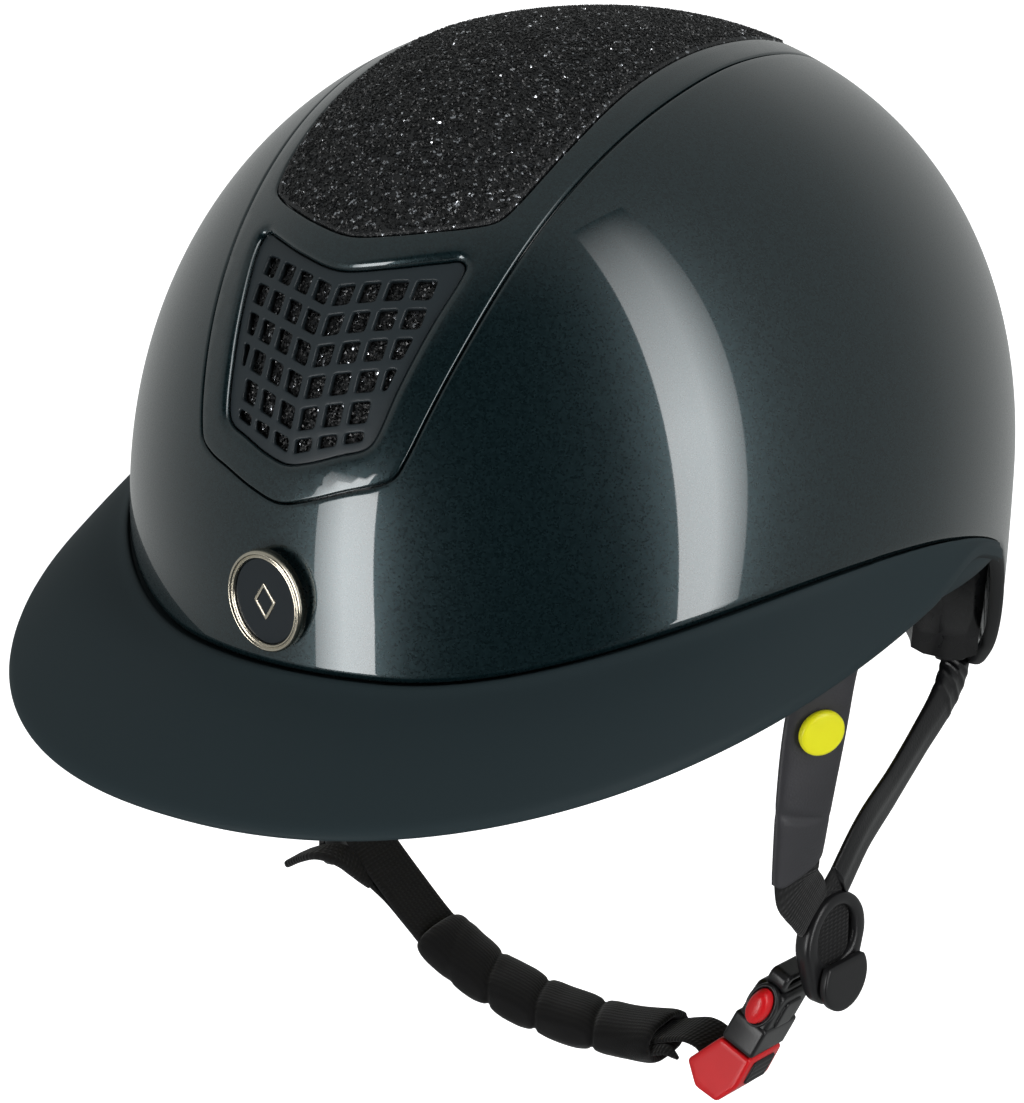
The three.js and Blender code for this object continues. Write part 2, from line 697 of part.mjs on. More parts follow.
const harness = new THREE.Group();
for (const [label, side] of [['left', 1], ['right', -1]]) {
  for (const name of Object.keys(STRAPS)) {
    const material = name.endsWith('sleeve') ? 'leather' : 'webbing';
    harness.add(piece(`${label}_${name}`, strap(name, side), material));
  }
  const frontAnchor = plate(roundedRectangle(13, 27, 3), 3).translate(side * 95.2, -9, 11.3);
  const rearAnchor = plate(roundedRectangle(8, 15, 2.5), 2.2).translate(0, 0, -1.1);
  rearAnchor.rotateZ(side * 34 * RAD).translate(side * 70.4, 79.5, -31);
  harness.add(piece(`${label}_front_anchor`, frontAnchor, 'black_plastic'));
  harness.add(piece(`${label}_rear_anchor`, rearAnchor, 'black_plastic'));

  const divider = new THREE.Group();
  divider.add(piece(`${label}_divider`, dividerFrame(), 'black_plastic'));
  const flap = lockFlap();
  if (side < 0) flap.scale(1, 1, -1);
  divider.add(piece(`${label}_divider_flap`, flap, 'black_plastic'));
  const across = vec(side * Math.sin(DIVIDER.turn * RAD), Math.cos(DIVIDER.turn * RAD), 0);
  const up = vec(0, 0, 1);
  divider.matrix.makeBasis(across, up, across.clone().cross(up)).setPosition(side * DIVIDER_X, 0, 0);
  divider.matrix.decompose(divider.position, divider.quaternion, divider.scale);
  harness.add(divider);
}

const disc = new THREE.CylinderGeometry(6, 6, 2.2, 28);
disc.applyQuaternion(new THREE.Quaternion().setFromUnitVectors(vec(0, 1, 0), vec(0.823, -0.556, -0.12).normalize()));
disc.translate(85.2, -21.2, -19.3);
harness.add(piece('yellow_button', disc, 'yellow'));
const tail = [[-77.6, -10.8, -88.9], [-79.5, -15, -91], [-81, -21, -93], [-81.5, -27, -93.5]];
harness.add(piece('right_strap_tail', ribbon(tail, [[0, 0.3, 1], [0, 0.3, 1]], 12, WEBBING_THICKNESS, 6), 'webbing'));
helmet.add(harness);

const chinLoop = new THREE.Group();
chinLoop.add(
  piece('chin_webbing_right', chinWebbing('right_webbing'), 'webbing'),
  piece('chin_webbing_left', chinWebbing('left_webbing'), 'webbing'),
  piece('chin_pad', chinPad(), 'padding'),
);
const buckle = buckleSpace();
buckle.add(
  piece('buckle_housing', buckleHousing(), 'black_plastic'),
  piece('release_button', releaseButton(), 'red'),
  piece('buckle_tongue', tongueBody(), 'red'),
  piece('tongue_inset', tongueInset(), 'black_plastic'),
);
chinLoop.add(buckle);
helmet.add(chinLoop);

export default helmet;
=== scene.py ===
# %% [markdown]
# A riding helmet in Blender. The CAD model is loaded as a fixed frame, and every piece
# below is built around it, in metres, in the same places. The helmet faces -Y, the
# wearer's left is +X and up is +Z. A dome formula gives nearly every hard surface, so the
# gloss runs smoothly from one piece to the next.

# %% Load the frame
import math

import bmesh
import bpy
import numpy as np
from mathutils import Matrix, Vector
from mathutils.geometry import delaunay_2d_cdt


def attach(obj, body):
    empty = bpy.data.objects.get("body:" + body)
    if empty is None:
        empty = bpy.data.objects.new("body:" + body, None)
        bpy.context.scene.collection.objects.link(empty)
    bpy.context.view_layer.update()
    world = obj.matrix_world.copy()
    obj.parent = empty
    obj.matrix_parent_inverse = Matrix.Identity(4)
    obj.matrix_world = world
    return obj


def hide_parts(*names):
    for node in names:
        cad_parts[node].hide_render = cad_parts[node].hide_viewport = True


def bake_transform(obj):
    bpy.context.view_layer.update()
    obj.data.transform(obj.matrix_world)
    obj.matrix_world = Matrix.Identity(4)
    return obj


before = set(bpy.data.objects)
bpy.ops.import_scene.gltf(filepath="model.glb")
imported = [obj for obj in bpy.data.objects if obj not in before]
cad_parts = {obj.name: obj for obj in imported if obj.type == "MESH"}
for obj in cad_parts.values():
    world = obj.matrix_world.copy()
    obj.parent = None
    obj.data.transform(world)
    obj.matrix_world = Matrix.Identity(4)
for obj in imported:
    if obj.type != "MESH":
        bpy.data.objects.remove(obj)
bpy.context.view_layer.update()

# %% [markdown]
# The camera stands where a photographer would, a little above the helmet and in front of
# its left cheek. It is set from an azimuth, an elevation and a distance, so the view can be
# read at a glance. The lens is a short telephoto.

# %% Camera
MM = 0.001
AZIMUTH = math.radians(33.846)
ELEVATION = math.radians(18.233)
DISTANCE = 0.7494
LOOK_AT = Vector((-0.0136, -0.0073, 0.0046))
LENS_MM = 94.4
SENSOR_MM = 36


def towards(azimuth, elevation):
    """The direction from the helmet to a point at this azimuth (0 is the front) and height."""
    flat = math.cos(elevation)
    return Vector((math.sin(azimuth) * flat, -math.cos(azimuth) * flat, math.sin(elevation)))


camera_data = bpy.data.cameras.new("camera")
camera = bpy.data.objects.new("camera", camera_data)
bpy.context.scene.collection.objects.link(camera)
camera_data.lens = LENS_MM
camera_data.sensor_width = SENSOR_MM
camera_data.clip_start = 0.01
camera.location = LOOK_AT + towards(AZIMUTH, ELEVATION) * DISTANCE
camera.rotation_euler = towards(AZIMUTH, ELEVATION).to_track_quat("Z", "Y").to_euler()
bpy.context.scene.camera = camera
bpy.context.scene.view_settings.view_transform = "Standard"
print("camera at", [round(v, 3) for v in camera.location])

# %% [markdown]
# Every material is written as Python expressions. `Socket` wraps an output of a node, and
# its operators add Math nodes, so `1 - mask` does what it says. `Finish` makes one material
# and gives access to any other node through a single method.

# %% Shader helpers


class Socket:
    """A value in a node tree. Adding, multiplying and so on make Math nodes."""

    def __init__(self, finish, output):
        self.finish = finish
        self.output = output

    def _math(self, operation, first, second=0.0):
        return self.finish.node("ShaderNodeMath", {"operation": operation}, [first, second])

    def __add__(self, other):
        return self._math("ADD", self, other)

    __radd__ = __add__

    def __mul__(self, other):
        return self._math("MULTIPLY", self, other)

    __rmul__ = __mul__

    def __sub__(self, other):
        return self._math("SUBTRACT", self, other)

    def __rsub__(self, other):
        return self._math("SUBTRACT", other, self)

    def above(self, level):
        return self._math("GREATER_THAN", self, level)

    def sine(self):
        return self._math("SINE", self)


class Finish:
    """One procedural material, built around a Principled shader."""

    def __init__(self, name, color, roughness, metallic=0.0, **constants):
        self.material = bpy.data.materials.new(name)
        self.material.use_nodes = True
        self.tree = self.material.node_tree
        self.shader = self.tree.nodes["Principled BSDF"]
        self.shader.inputs["Base Color"].default_value = (*color, 1)
        self.shader.inputs["Roughness"].default_value = roughness
        self.shader.inputs["Metallic"].default_value = metallic
        for socket, value in constants.items():
            self.shader.inputs[socket.replace("_", " ")].default_value = value
        self.material.diffuse_color = (*color, 1)

    def node(self, kind, settings=None, inputs=(), output=0):
        """Adds a node: its settings first, then the values or links of its sockets."""
        made = self.tree.nodes.new(kind)
        for key, value in (settings or {}).items():
            if key == "stops":
                self._set_stops(made.color_ramp, value)
            else:
                setattr(made, key, value)
        pairs = inputs.items() if isinstance(inputs, dict) else enumerate(inputs)
        for key, value in pairs:
            if isinstance(value, Socket):
                self.tree.links.new(value.output, made.inputs[key])
            else:
                made.inputs[key].default_value = value
        return Socket(self, made.outputs[output])

    @staticmethod
    def _set_stops(ramp, stops):
        while len(ramp.elements) < len(stops):
            ramp.elements.new(0.5)
        for element, (place, grey) in zip(ramp.elements, stops):
            element.position = place
            element.color = (grey, grey, grey, 1)

    def place(self):
        return self.node("ShaderNodeTexCoord", output=3)

    def uv(self):
        return self.node("ShaderNodeTexCoord", output=2)

    def axis(self, vector, which):
        return self.node("ShaderNodeSeparateXYZ", {}, [vector], output="XYZ".index(which))

    def scaled(self, vector, scale):
        return self.node("ShaderNodeMapping", {}, {"Vector": vector, "Scale": scale})

    def noise(self, vector, scale, detail=3.0, roughness=0.5):
        values = {"Vector": vector, "Scale": scale, "Detail": detail, "Roughness": roughness}
        return self.node("ShaderNodeTexNoise", {}, values)

    def cells(self, vector, scale, feature="F1", output=0):
        values = {"Vector": vector, "Scale": scale}
        return self.node("ShaderNodeTexVoronoi", {"feature": feature}, values, output)

    def ramp(self, value, stops):
        return self.node("ShaderNodeValToRGB", {"stops": stops}, [value])

    def blend(self, factor, low, high):
        inputs = {"Factor": factor, 6: (*low, 1) if isinstance(low, tuple) else low}
        inputs[7] = (*high, 1) if isinstance(high, tuple) else high
        return self.node("ShaderNodeMix", {"data_type": "RGBA"}, inputs, output=2)

    def feed(self, socket, value):
        self.tree.links.new(value.output, self.shader.inputs[socket])

    def bump(self, height, distance, strength=1.0):
        inputs = {"Height": height, "Distance": distance, "Strength": strength}
        self.feed("Normal", self.node("ShaderNodeBump", {}, inputs))


print("shader helpers ready")

# %% [markdown]
# The lacquer on the shell and on the centre frame is almost black-blue with a fine metallic
# flake under a clear coat. A metallic base with a little roughness gives the soft, wide glow
# beside each reflection, and the coat gives the sharp reflection itself. The peak has the
# same colour family, but as a soft matte.

# %% Finishes of the hard parts


def lacquer():
    finish = Finish("petrol_lacquer", (0.005, 0.013, 0.018), 0.34, 0.55, Coat_Weight=1.0, Coat_Roughness=0.03)
    flake = finish.cells(finish.place(), 2600.0, output=1)
    glint = finish.axis(flake, "X")
    finish.feed("Base Color", finish.blend(glint, (0.0035, 0.013, 0.016), (0.009, 0.026, 0.031)))
    finish.feed("Roughness", 0.26 + glint * 0.08)
    return finish.material


def soft_matte(name, color, deeper, roughness, grain=2200.0, shine=0.4):
    finish = Finish(name, color, roughness, 0.0, Specular_IOR_Level=shine)
    fine = finish.noise(finish.place(), grain, 2.0)
    broad = finish.noise(finish.place(), 14.0, 2.0)
    finish.feed("Base Color", finish.blend(broad, color, deeper))
    finish.feed("Roughness", roughness - 0.04 + broad * 0.08)
    finish.bump(fine, 0.00004, 0.5)
    return finish.material


def granule_fabric():
    finish = Finish("glitter_fabric", (0.008, 0.009, 0.010), 0.5, 0.2)
    grains = finish.cells(finish.place(), 1150.0)
    lit = finish.axis(finish.cells(finish.place(), 1150.0, output=1), "Y")
    sparkle = lit.above(0.93)
    finish.feed("Base Color", finish.blend(sparkle, (0.007, 0.008, 0.009), (0.45, 0.47, 0.50)))
    finish.feed("Metallic", sparkle * 0.9)
    finish.feed("Roughness", 0.5 - sparkle * 0.25)
    finish.bump(1 - grains, 0.0004, 0.9)
    return finish.material


def granules():
    """The grains on the top insert: mostly black glass, a few silvered ones."""
    finish = Finish("glitter_granules", (0.010, 0.011, 0.012), 0.28, 0.1)
    pick = finish.axis(finish.cells(finish.place(), 1000.0, output=1), "X")
    silver = pick.above(0.985)
    grey = pick.above(0.90)
    shade = finish.blend(grey, (0.003, 0.0035, 0.004), (0.02, 0.022, 0.025))
    finish.feed("Base Color", finish.blend(silver, shade, (0.75, 0.77, 0.80)))
    finish.feed("Metallic", silver * 0.95)
    finish.feed("Roughness", 0.34 - silver * 0.12)
    return finish.material


def polished_metal(name, color, roughness):
    finish = Finish(name, color, roughness, 1.0)
    brushed = finish.noise(finish.scaled(finish.place(), (900.0, 900.0, 5000.0)), 1.0, 3.0)
    finish.feed("Roughness", roughness + brushed * 0.08)
    finish.bump(brushed, 0.00002, 0.3)
    return finish.material


LACQUER = lacquer()
PEAK_MATTE = soft_matte("peak_matte", (0.0200, 0.0330, 0.0380), (0.0175, 0.0290, 0.0335), 0.62, shine=0.2)
GRILLE_MATTE = soft_matte("grille_matte", (0.018, 0.026, 0.031), (0.015, 0.022, 0.026), 0.46)
MESH_FABRIC = granule_fabric()
GRANULES = granules()
SILVER = polished_metal("pale_metal", (0.66, 0.61, 0.50), 0.18)
print("hard finishes:", LACQUER.name, PEAK_MATTE.name, GRILLE_MATTE.name, SILVER.name)

# %% [markdown]
# The dome is a superquadric: an ellipse in plan whose exponent is a little under two, lifted
# by another power law. Raising a number near zero to such a power makes a faint crease in a
# mirror finish, so `eased` rounds it off. Points are found by walking along a ray from inside
# the head until the formula says one.

# %% The dome
HALF_WIDTH = 107.1
FRONT_LENGTH = 122.9
REAR_LENGTH = 138.7
PLAN_POWER = 1.9
HEIGHT_ABOVE = 117.5
HEIGHT_BELOW = 227.0
POWER_ABOVE = 2.13
POWER_BELOW = 2.29
LEAN = 0.031
WIDEST_LEVEL = 25.2
EASING = 12.0


def eased(value, length, power):
    ratio = EASING / length
    return ((value / length) ** 2 + ratio**2) ** (power / 2) - ratio**power


def dome_level(points):
    """1 on the shell's outside, less inside it. Points are in mm."""
    x, y, z = points[..., 0], points[..., 1], points[..., 2]
    rise = z - WIDEST_LEVEL
    y = y - LEAN * rise
    length = np.where(y < 0, FRONT_LENGTH, REAR_LENGTH)
    plan = eased(x, HALF_WIDTH, PLAN_POWER) + eased(y, length, PLAN_POWER)
    above = np.abs(rise / HEIGHT_ABOVE) ** POWER_ABOVE + plan ** (POWER_ABOVE / PLAN_POWER)
    below = np.abs(rise / HEIGHT_BELOW) ** POWER_BELOW + plan ** (POWER_BELOW / PLAN_POWER)
    return np.where(rise > 0, above ** (1 / POWER_ABOVE), below ** (1 / POWER_BELOW))


def cast(start, direction):
    """Where rays from inside the head meet the dome."""
    near = np.zeros(direction.shape[:-1])
    far = np.full(direction.shape[:-1], 260.0)
    for _ in range(42):
        middle = (near + far) / 2
        inside = dome_level(start + direction * middle[..., None]) < 1
        near = np.where(inside, middle, near)
        far = np.where(inside, far, middle)
    return start + direction * near[..., None]


def dome_normal(points):
    step = 0.4
    slopes = []
    for axis in range(3):
        shift = np.zeros(3)
        shift[axis] = step
        slopes.append(dome_level(points + shift) - dome_level(points - shift))
    normal = np.stack(slopes, -1)
    return normal / np.linalg.norm(normal, axis=-1, keepdims=True)


def lifted(points, lift):
    """Dome points moved outwards by lift, in mm."""
    return points + dome_normal(points) * np.asarray(lift)[..., None]


def over_crown(flat, lift=0.0):
    """Places (x, s) on the dome, where s is mm from the front along a circle over the crown."""
    flat = np.asarray(flat, float)
    angle = flat[..., 1] / PANEL_RADIUS
    start = np.zeros((*flat.shape[:-1], 3))
    start[..., 0] = flat[..., 0]
    start[..., 2] = WIDEST_LEVEL
    direction = np.stack([0 * angle, -np.cos(angle), np.sin(angle)], -1)
    return lifted(cast(start, direction), np.broadcast_to(lift, angle.shape))


PANEL_RADIUS = 118.0
crown = over_crown([[0.0, math.radians(90) * PANEL_RADIUS]])[0]
print("crown at", crown.round(1))

# %% [markdown]
# The edge of the shell is low at the brow, arches over the ears and drops to the nape. One
# function gives its height for any turn from the front. The peak, the rear lip and the
# linings all start from it.

# %% Edge heights
NAPE_LEVEL = -36.0


def smooth_step(value, low, high):
    share = np.clip((value - low) / (high - low), 0, 1)
    return share * share * (3 - 2 * share)


def turn_from_front(theta):
    turn = np.degrees(theta) % 360
    return np.minimum(turn, 360 - turn)


def shell_edge(theta):
    turn = turn_from_front(theta)
    front = 12.2 + 18.2 * smooth_step(turn, 15, 74.1)
    arch = 30.4 - 4 * (np.maximum(turn - 74.1, 0) / 18) ** 2.18 - 17 * smooth_step(turn, 107, 125)
    rear = (arch + NAPE_LEVEL + np.hypot(arch - NAPE_LEVEL, 6)) / 2
    return np.where(turn < 74.1, front, rear)


def rim_height(theta):
    turn = turn_from_front(theta)
    band = -10 + 24 * smooth_step(turn, 20, 80)
    return np.where(turn < 80, band, np.minimum(14, shell_edge(theta)))


def at_height(theta, height, inset=0.0):
    """Dome points at a plan angle and a height, moved inwards by inset."""
    theta, height, inset = np.broadcast_arrays(np.asarray(theta, float), height, inset)
    rise = height - WIDEST_LEVEL
    power = 2 / PLAN_POWER
    across = HALF_WIDTH * np.sign(np.sin(theta)) * np.abs(np.sin(theta)) ** power
    length = np.where(np.cos(theta) > 0, FRONT_LENGTH, REAR_LENGTH)
    along = -length * np.sign(np.cos(theta)) * np.abs(np.cos(theta)) ** power
    flat = np.stack([across, along, 0 * across], -1)
    flat = flat / np.linalg.norm(flat, axis=-1, keepdims=True)
    start = np.stack([0 * rise, LEAN * rise, height], -1)
    return lifted(cast(start, flat), -inset)


print("shell edge at the brow, ear and nape:", shell_edge(np.radians([0.0, 75.0, 180.0])).round(1))

# %% [markdown]
# Three makers cover most pieces. `make_mesh` turns points in mm into an object. `strip`
# joins rows of points into a skin, closed round each row, with caps if asked. `panel` fills
# an outline that may have holes: the face is a fine triangle net on the dome, its edges are
# rounded over, and a wall goes down to a back face, so each panel is a closed solid.

# %% Mesh makers


def make_mesh(name, points, faces, material, smooth=True, uv=None):
    mesh = bpy.data.meshes.new(name)
    mesh.from_pydata((np.asarray(points) * MM).tolist(), [], faces)
    mesh.materials.append(material)
    mesh.polygons.foreach_set("use_smooth", [smooth] * len(mesh.polygons))
    if uv is not None:
        layer = mesh.uv_layers.new(name="UVMap")
        corners = np.empty(len(mesh.loops), dtype=np.int32)
        mesh.loops.foreach_get("vertex_index", corners)
        layer.data.foreach_set("uv", np.asarray(uv, float)[corners].ravel())
    mesh.validate()
    made = bpy.data.objects.new(name, mesh)
    bpy.context.scene.collection.objects.link(made)
    return made


def strip_faces(rows, columns, closed_rows, first=0):
    """Faces between rows of points. Each row is a closed ring. closed_rows joins the last to the first."""
    faces = []
    for i in range(rows if closed_rows else rows - 1):
        low = first + i * columns
        high = first + ((i + 1) % rows) * columns
        for j in range(columns):
            k = (j + 1) % columns
            faces.append((low + j, low + k, high + k, high + j))
    return faces


def facing_out(made):
    """Turns every face outwards, after joining double points."""
    work = bmesh.new()
    work.from_mesh(made.data)
    bmesh.ops.remove_doubles(work, verts=work.verts, dist=1e-7)
    bmesh.ops.recalc_face_normals(work, faces=work.faces)
    work.to_mesh(made.data)
    work.free()
    return made


def strip(name, rows, material, closed_rows=False, caps=True, uv=None):
    """rows is an array (row, point, 3) in mm; each row is a ring of points."""
    count, columns = rows.shape[:2]
    faces = strip_faces(count, columns, closed_rows)
    if caps and not closed_rows:
        faces.append(tuple(range(columns)))
        faces.append(tuple(range((count - 1) * columns, count * columns))[::-1])
    return facing_out(make_mesh(name, rows.reshape(-1, 3), faces, material, uv=uv))


def finished(piece, body, slot, *nodes):
    """Says which body a piece rides on and the CAD nodes it stands for. The slot is not used."""
    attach(piece, body)
    if nodes:
        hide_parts(*nodes)
    print(f"{piece.name}: {len(piece.data.polygons)} faces, rides on {body}")
    return piece


# %% [markdown]
# Outlines are drawn flat and laid on the dome later: x goes across, and the other value goes
# from the front up over the crown, both in mm. A spline rounds them, and even steps along them
# keep the rims tidy. Curve objects could do this too, but points in arrays are easier to
# offset, clip and mirror.

# %% Outlines


def between(before, here, after, later, t):
    """A smooth curve from here to after, t from 0 to 1, that leaves room for its neighbours."""
    gaps = [np.maximum(np.linalg.norm(b - a, axis=-1, keepdims=True), 1e-6) ** 0.5
            for a, b in ((before, here), (here, after), (after, later))]
    leave = (here - before) / gaps[0] - (after - before) / (gaps[0] + gaps[1]) + (after - here) / gaps[1]
    enter = (after - here) / gaps[1] - (later - here) / (gaps[1] + gaps[2]) + (later - after) / gaps[2]
    return ((2 * t**3 - 3 * t**2 + 1) * here + (t**3 - 2 * t**2 + t) * leave * gaps[1]
            + (3 * t**2 - 2 * t**3) * after + (t**3 - t**2) * enter * gaps[1])


def smooth_loop(points, spacing):
    """A closed smooth curve through the points, as evenly spaced points."""
    points = np.asarray(points, float)
    t = np.linspace(0, 1, 24, endpoint=False)[:, None, None]
    dense = between(np.roll(points, 1, 0), points, np.roll(points, -1, 0), np.roll(points, -2, 0), t)
    return even_loop(dense.transpose(1, 0, 2).reshape(-1, points.shape[1]), spacing)


def even_loop(dense, spacing):
    closed = np.vstack([dense, dense[:1]])
    lengths = np.concatenate([[0], np.cumsum(np.linalg.norm(np.diff(closed, axis=0), axis=1))])
    count = max(8, int(round(lengths[-1] / spacing)))
    wanted = np.linspace(0, lengths[-1], count, endpoint=False)
    return np.stack([np.interp(wanted, lengths, closed[:, k]) for k in range(dense.shape[1])], -1)


def grown(loop, distance):
    """The loop moved outwards by a distance, point by point."""
    edge = np.roll(loop, -1, 0) - np.roll(loop, 1, 0)
    edge = edge / np.linalg.norm(edge, axis=1, keepdims=True)
    after = np.roll(loop, -1, 0)
    area = np.sum(loop[:, 0] * after[:, 1] - after[:, 0] * loop[:, 1])
    normal = np.stack([edge[:, 1], -edge[:, 0]], -1) * np.sign(area)
    return loop + normal * distance


def inside(points, loop):
    """Which points lie inside the loop."""
    x, y = points[:, 0][:, None], points[:, 1][:, None]
    x0, y0 = loop[:, 0], loop[:, 1]
    x1, y1 = np.roll(x0, -1), np.roll(y0, -1)
    crosses = ((y0 > y) != (y1 > y)) & (x < (x1 - x0) * (y - y0) / (y1 - y0 + 1e-12) + x0)
    return crosses.sum(axis=1) % 2 == 1


def on_shell(half):
    """Half an outline in (mm across, degrees up from the front), mirrored, as (x, s) in mm."""
    points = [(x, math.radians(angle) * PANEL_RADIUS) for x, angle in half]
    return np.array(points + [(-x, s) for x, s in points[::-1] if x > 0])


FRAME_OUTLINE = on_shell([
    (0, 11.4), (8, 12.3), (17, 13.9), (22.8, 14.9), (26.6, 16.1), (28.3, 18), (30.9, 22.8),
    (34.7, 31.5), (37.3, 39.5), (40.4, 52), (43, 67), (43.9, 81), (42.4, 97), (38.5, 113),
    (33, 128), (26, 142), (22, 148), (16, 152), (8, 153.6), (0, 154)])
INSERT_OUTLINE = on_shell([
    (0, 40.8), (11.1, 41.9), (19.4, 43.4), (26.3, 45), (30.6, 46.6), (32.6, 49.3), (35.2, 60),
    (35.7, 72), (35.4, 88), (34, 100), (30.5, 112), (27, 118.5), (22, 121.3), (12, 122.8), (0, 123.2)])
FRONT_VENT_OUTLINE = on_shell([
    (0, 15.4), (6, 16), (13.6, 17.4), (18.8, 18.4), (20.6, 19.4), (23.5, 25.7), (26.3, 32.6),
    (28.7, 39), (28.6, 40.4), (27.2, 40.9), (23.6, 40.2), (13, 38.2), (0, 36.8)])
REAR_VENT_OUTLINE = on_shell([
    (0, 128.4), (12, 128), (18.6, 127.5), (20.2, 128.8), (15.5, 143), (13, 145), (6, 146), (0, 146.2)])
print("outlines:", len(FRAME_OUTLINE), len(INSERT_OUTLINE), len(FRONT_VENT_OUTLINE), len(REAR_VENT_OUTLINE))

# %% [markdown]
# A panel's face could be one large polygon, but that would not bend with the dome. A fine
# triangle net inside the outline does, and it copes with holes of any shape.

# %% Panels


def rounding(radius, drop, steps):
    """(inset, lift) pairs from the flat of a face, over its rounded edge."""
    turns = np.linspace(0, math.pi / 2, steps)
    return [(radius * (1 - math.sin(t)), -drop * (1 - math.cos(t))) for t in turns]


def fill(loops, spacing):
    """A triangle net inside the first loop and outside the others. Returns points and faces."""
    outer = loops[0]
    low, high = outer.min(0), outer.max(0)
    xs = np.arange(low[0], high[0], spacing)
    ys = np.arange(low[1], high[1], spacing)
    grid = np.stack(np.meshgrid(xs, ys), -1).reshape(-1, 2)
    keep = inside(grid, grown(outer, -0.6 * spacing))
    for hole in loops[1:]:
        keep &= ~inside(grid, grown(hole, 0.6 * spacing))
    points = np.vstack([*loops, grid[keep]])
    edges = []
    first = 0
    for loop in loops:
        count = len(loop)
        edges += [(first + i, first + (i + 1) % count) for i in range(count)]
        first += count
    verts, _, faces, _, _, _ = delaunay_2d_cdt([Vector(p) for p in points], edges, [], 0, 1e-6)
    flat = np.array([tuple(v) for v in verts])
    faces = np.array([tuple(f) for f in faces if len(f) == 3])
    middle = flat[faces].mean(axis=1)
    good = inside(middle, outer)
    for hole in loops[1:]:
        good &= ~inside(middle, hole)
    return flat, faces[good]


def quads(row, next_row):
    """Faces between two closed rows of the same length."""
    return np.stack([row, np.roll(row, -1), np.roll(next_row, -1), next_row], 1).tolist()


def panel(name, loops, material, lift=0.0, thickness=1.3, edge=(0.5, 0.5), hole_edges=None, spacing=2.0,
          place=over_crown, round_back=False):
    """A closed plate on the dome. edge and hole_edges are (radius, drop) of the rounded rims."""
    rims = [edge, *(hole_edges or [edge] * (len(loops) - 1))]
    signs = [-1] + [1] * (len(loops) - 1)
    tops = [grown(loop, sign * radius) for loop, sign, (radius, _) in zip(loops, signs, rims)]
    back_loops = tops if round_back else loops
    flat, faces = fill(tops, spacing)
    back_flat, back_faces = fill(back_loops, spacing * 2)
    points = [place(flat, lift)]
    all_faces = [tuple(f) for f in faces]
    total = len(flat)
    above = 0
    foot = 0
    feet = []
    for loop, sign, (radius, drop) in zip(loops, signs, rims):
        curve_over = rounding(radius, drop, 5)
        levels = [(inset, lift + fall) for inset, fall in curve_over[1:]]
        if round_back:
            levels += [(inset, lift - thickness - fall) for inset, fall in curve_over[:0:-1]]
        count = len(loop)
        row = np.arange(above, above + count)
        above += count
        for inset, level in levels:
            points.append(place(grown(loop, sign * inset), level))
            next_row = np.arange(total, total + count)
            all_faces += quads(row, next_row)
            row = next_row
            total += count
        feet.append((row, foot))
        foot += count
    for row, start in feet:
        all_faces += quads(row, total + start + np.arange(len(row)))
    points.append(place(back_flat, lift - thickness))
    all_faces += [tuple(total + f[::-1]) for f in back_faces]
    return facing_out(make_mesh(name, np.vstack(points), all_faces, material))


print("panel maker ready")

# %% [markdown]
# The shell is the piece that the eye follows, so its mesh runs with its shape: rings go from
# the groove round the centre frame, over the dome, to the lower edge, and each ring is placed
# exactly on the formula. Both rims are rounded, and the inside is a second skin. A thin floor
# under the frame closes it, with the two vent windows left open.

# %% Outer shell
SHELL_THICKNESS = 3.2
HEAD_CENTRE = np.array([0.0, 8.0, WIDEST_LEVEL])
FRAME_LOOP = smooth_loop(FRAME_OUTLINE, 1.3)
INSERT_LOOP = smooth_loop(INSERT_OUTLINE, 1.3)
FRONT_VENT_LOOP = smooth_loop(FRONT_VENT_OUTLINE, 1.0)
REAR_VENT_LOOP = smooth_loop(REAR_VENT_OUTLINE, 1.0)
SHELL_RINGS = 84


def polar(points):
    """Azimuth from the front and elevation of points, seen from the middle of the head."""
    away = points - HEAD_CENTRE
    return np.arctan2(away[:, 0], -away[:, 1]), np.arctan2(away[:, 2], np.hypot(away[:, 0], away[:, 1]))


def from_polar(azimuth, elevation):
    flat = np.cos(elevation)
    direction = np.stack([np.sin(azimuth) * flat, -np.cos(azimuth) * flat, np.sin(elevation)], -1)
    return cast(np.broadcast_to(HEAD_CENTRE, direction.shape), direction)


def edge_elevations(azimuth, height_of):
    """Elevation, seen from the middle of the head, of an edge with the given height."""
    theta = np.linspace(-math.pi, math.pi, 721)
    edge = at_height(theta, height_of(theta))
    turn, up = polar(edge)
    order = np.argsort(turn)
    return np.interp(azimuth, turn[order], up[order], period=2 * math.pi)


def outer_shell():
    radius = 0.7
    start = grown(FRAME_LOOP, 0.35 + radius)
    turn, high = polar(over_crown(start))
    low = edge_elevations(turn, lambda theta: shell_edge(theta) + 1.2)
    wall = [over_crown(grown(FRAME_LOOP, 0.35), -SHELL_THICKNESS)]
    for inset, fall in rounding(radius, radius, 5)[::-1]:
        wall.append(over_crown(grown(FRAME_LOOP, 0.35 + inset), fall))
    rings = []
    for share in np.linspace(0, 1, SHELL_RINGS)[1:]:
        rings.append(from_polar(turn, high + (low - high) * share))
    rim = edge_elevations(turn, shell_edge)
    base = from_polar(turn, rim)
    under = [lifted(base, np.full(len(turn), -0.35)), lifted(base, np.full(len(turn), -1.2)),
             lifted(base, np.full(len(turn), -SHELL_THICKNESS))]
    inner = []
    for share in np.linspace(1, 0, 16)[:-1]:
        ring = from_polar(turn, high + (low - high) * share)
        inner.append(lifted(ring, np.full(len(turn), -SHELL_THICKNESS)))
    rows = np.stack([*wall, *rings, *under, *inner])
    return strip("shell", rows, LACQUER, closed_rows=True)


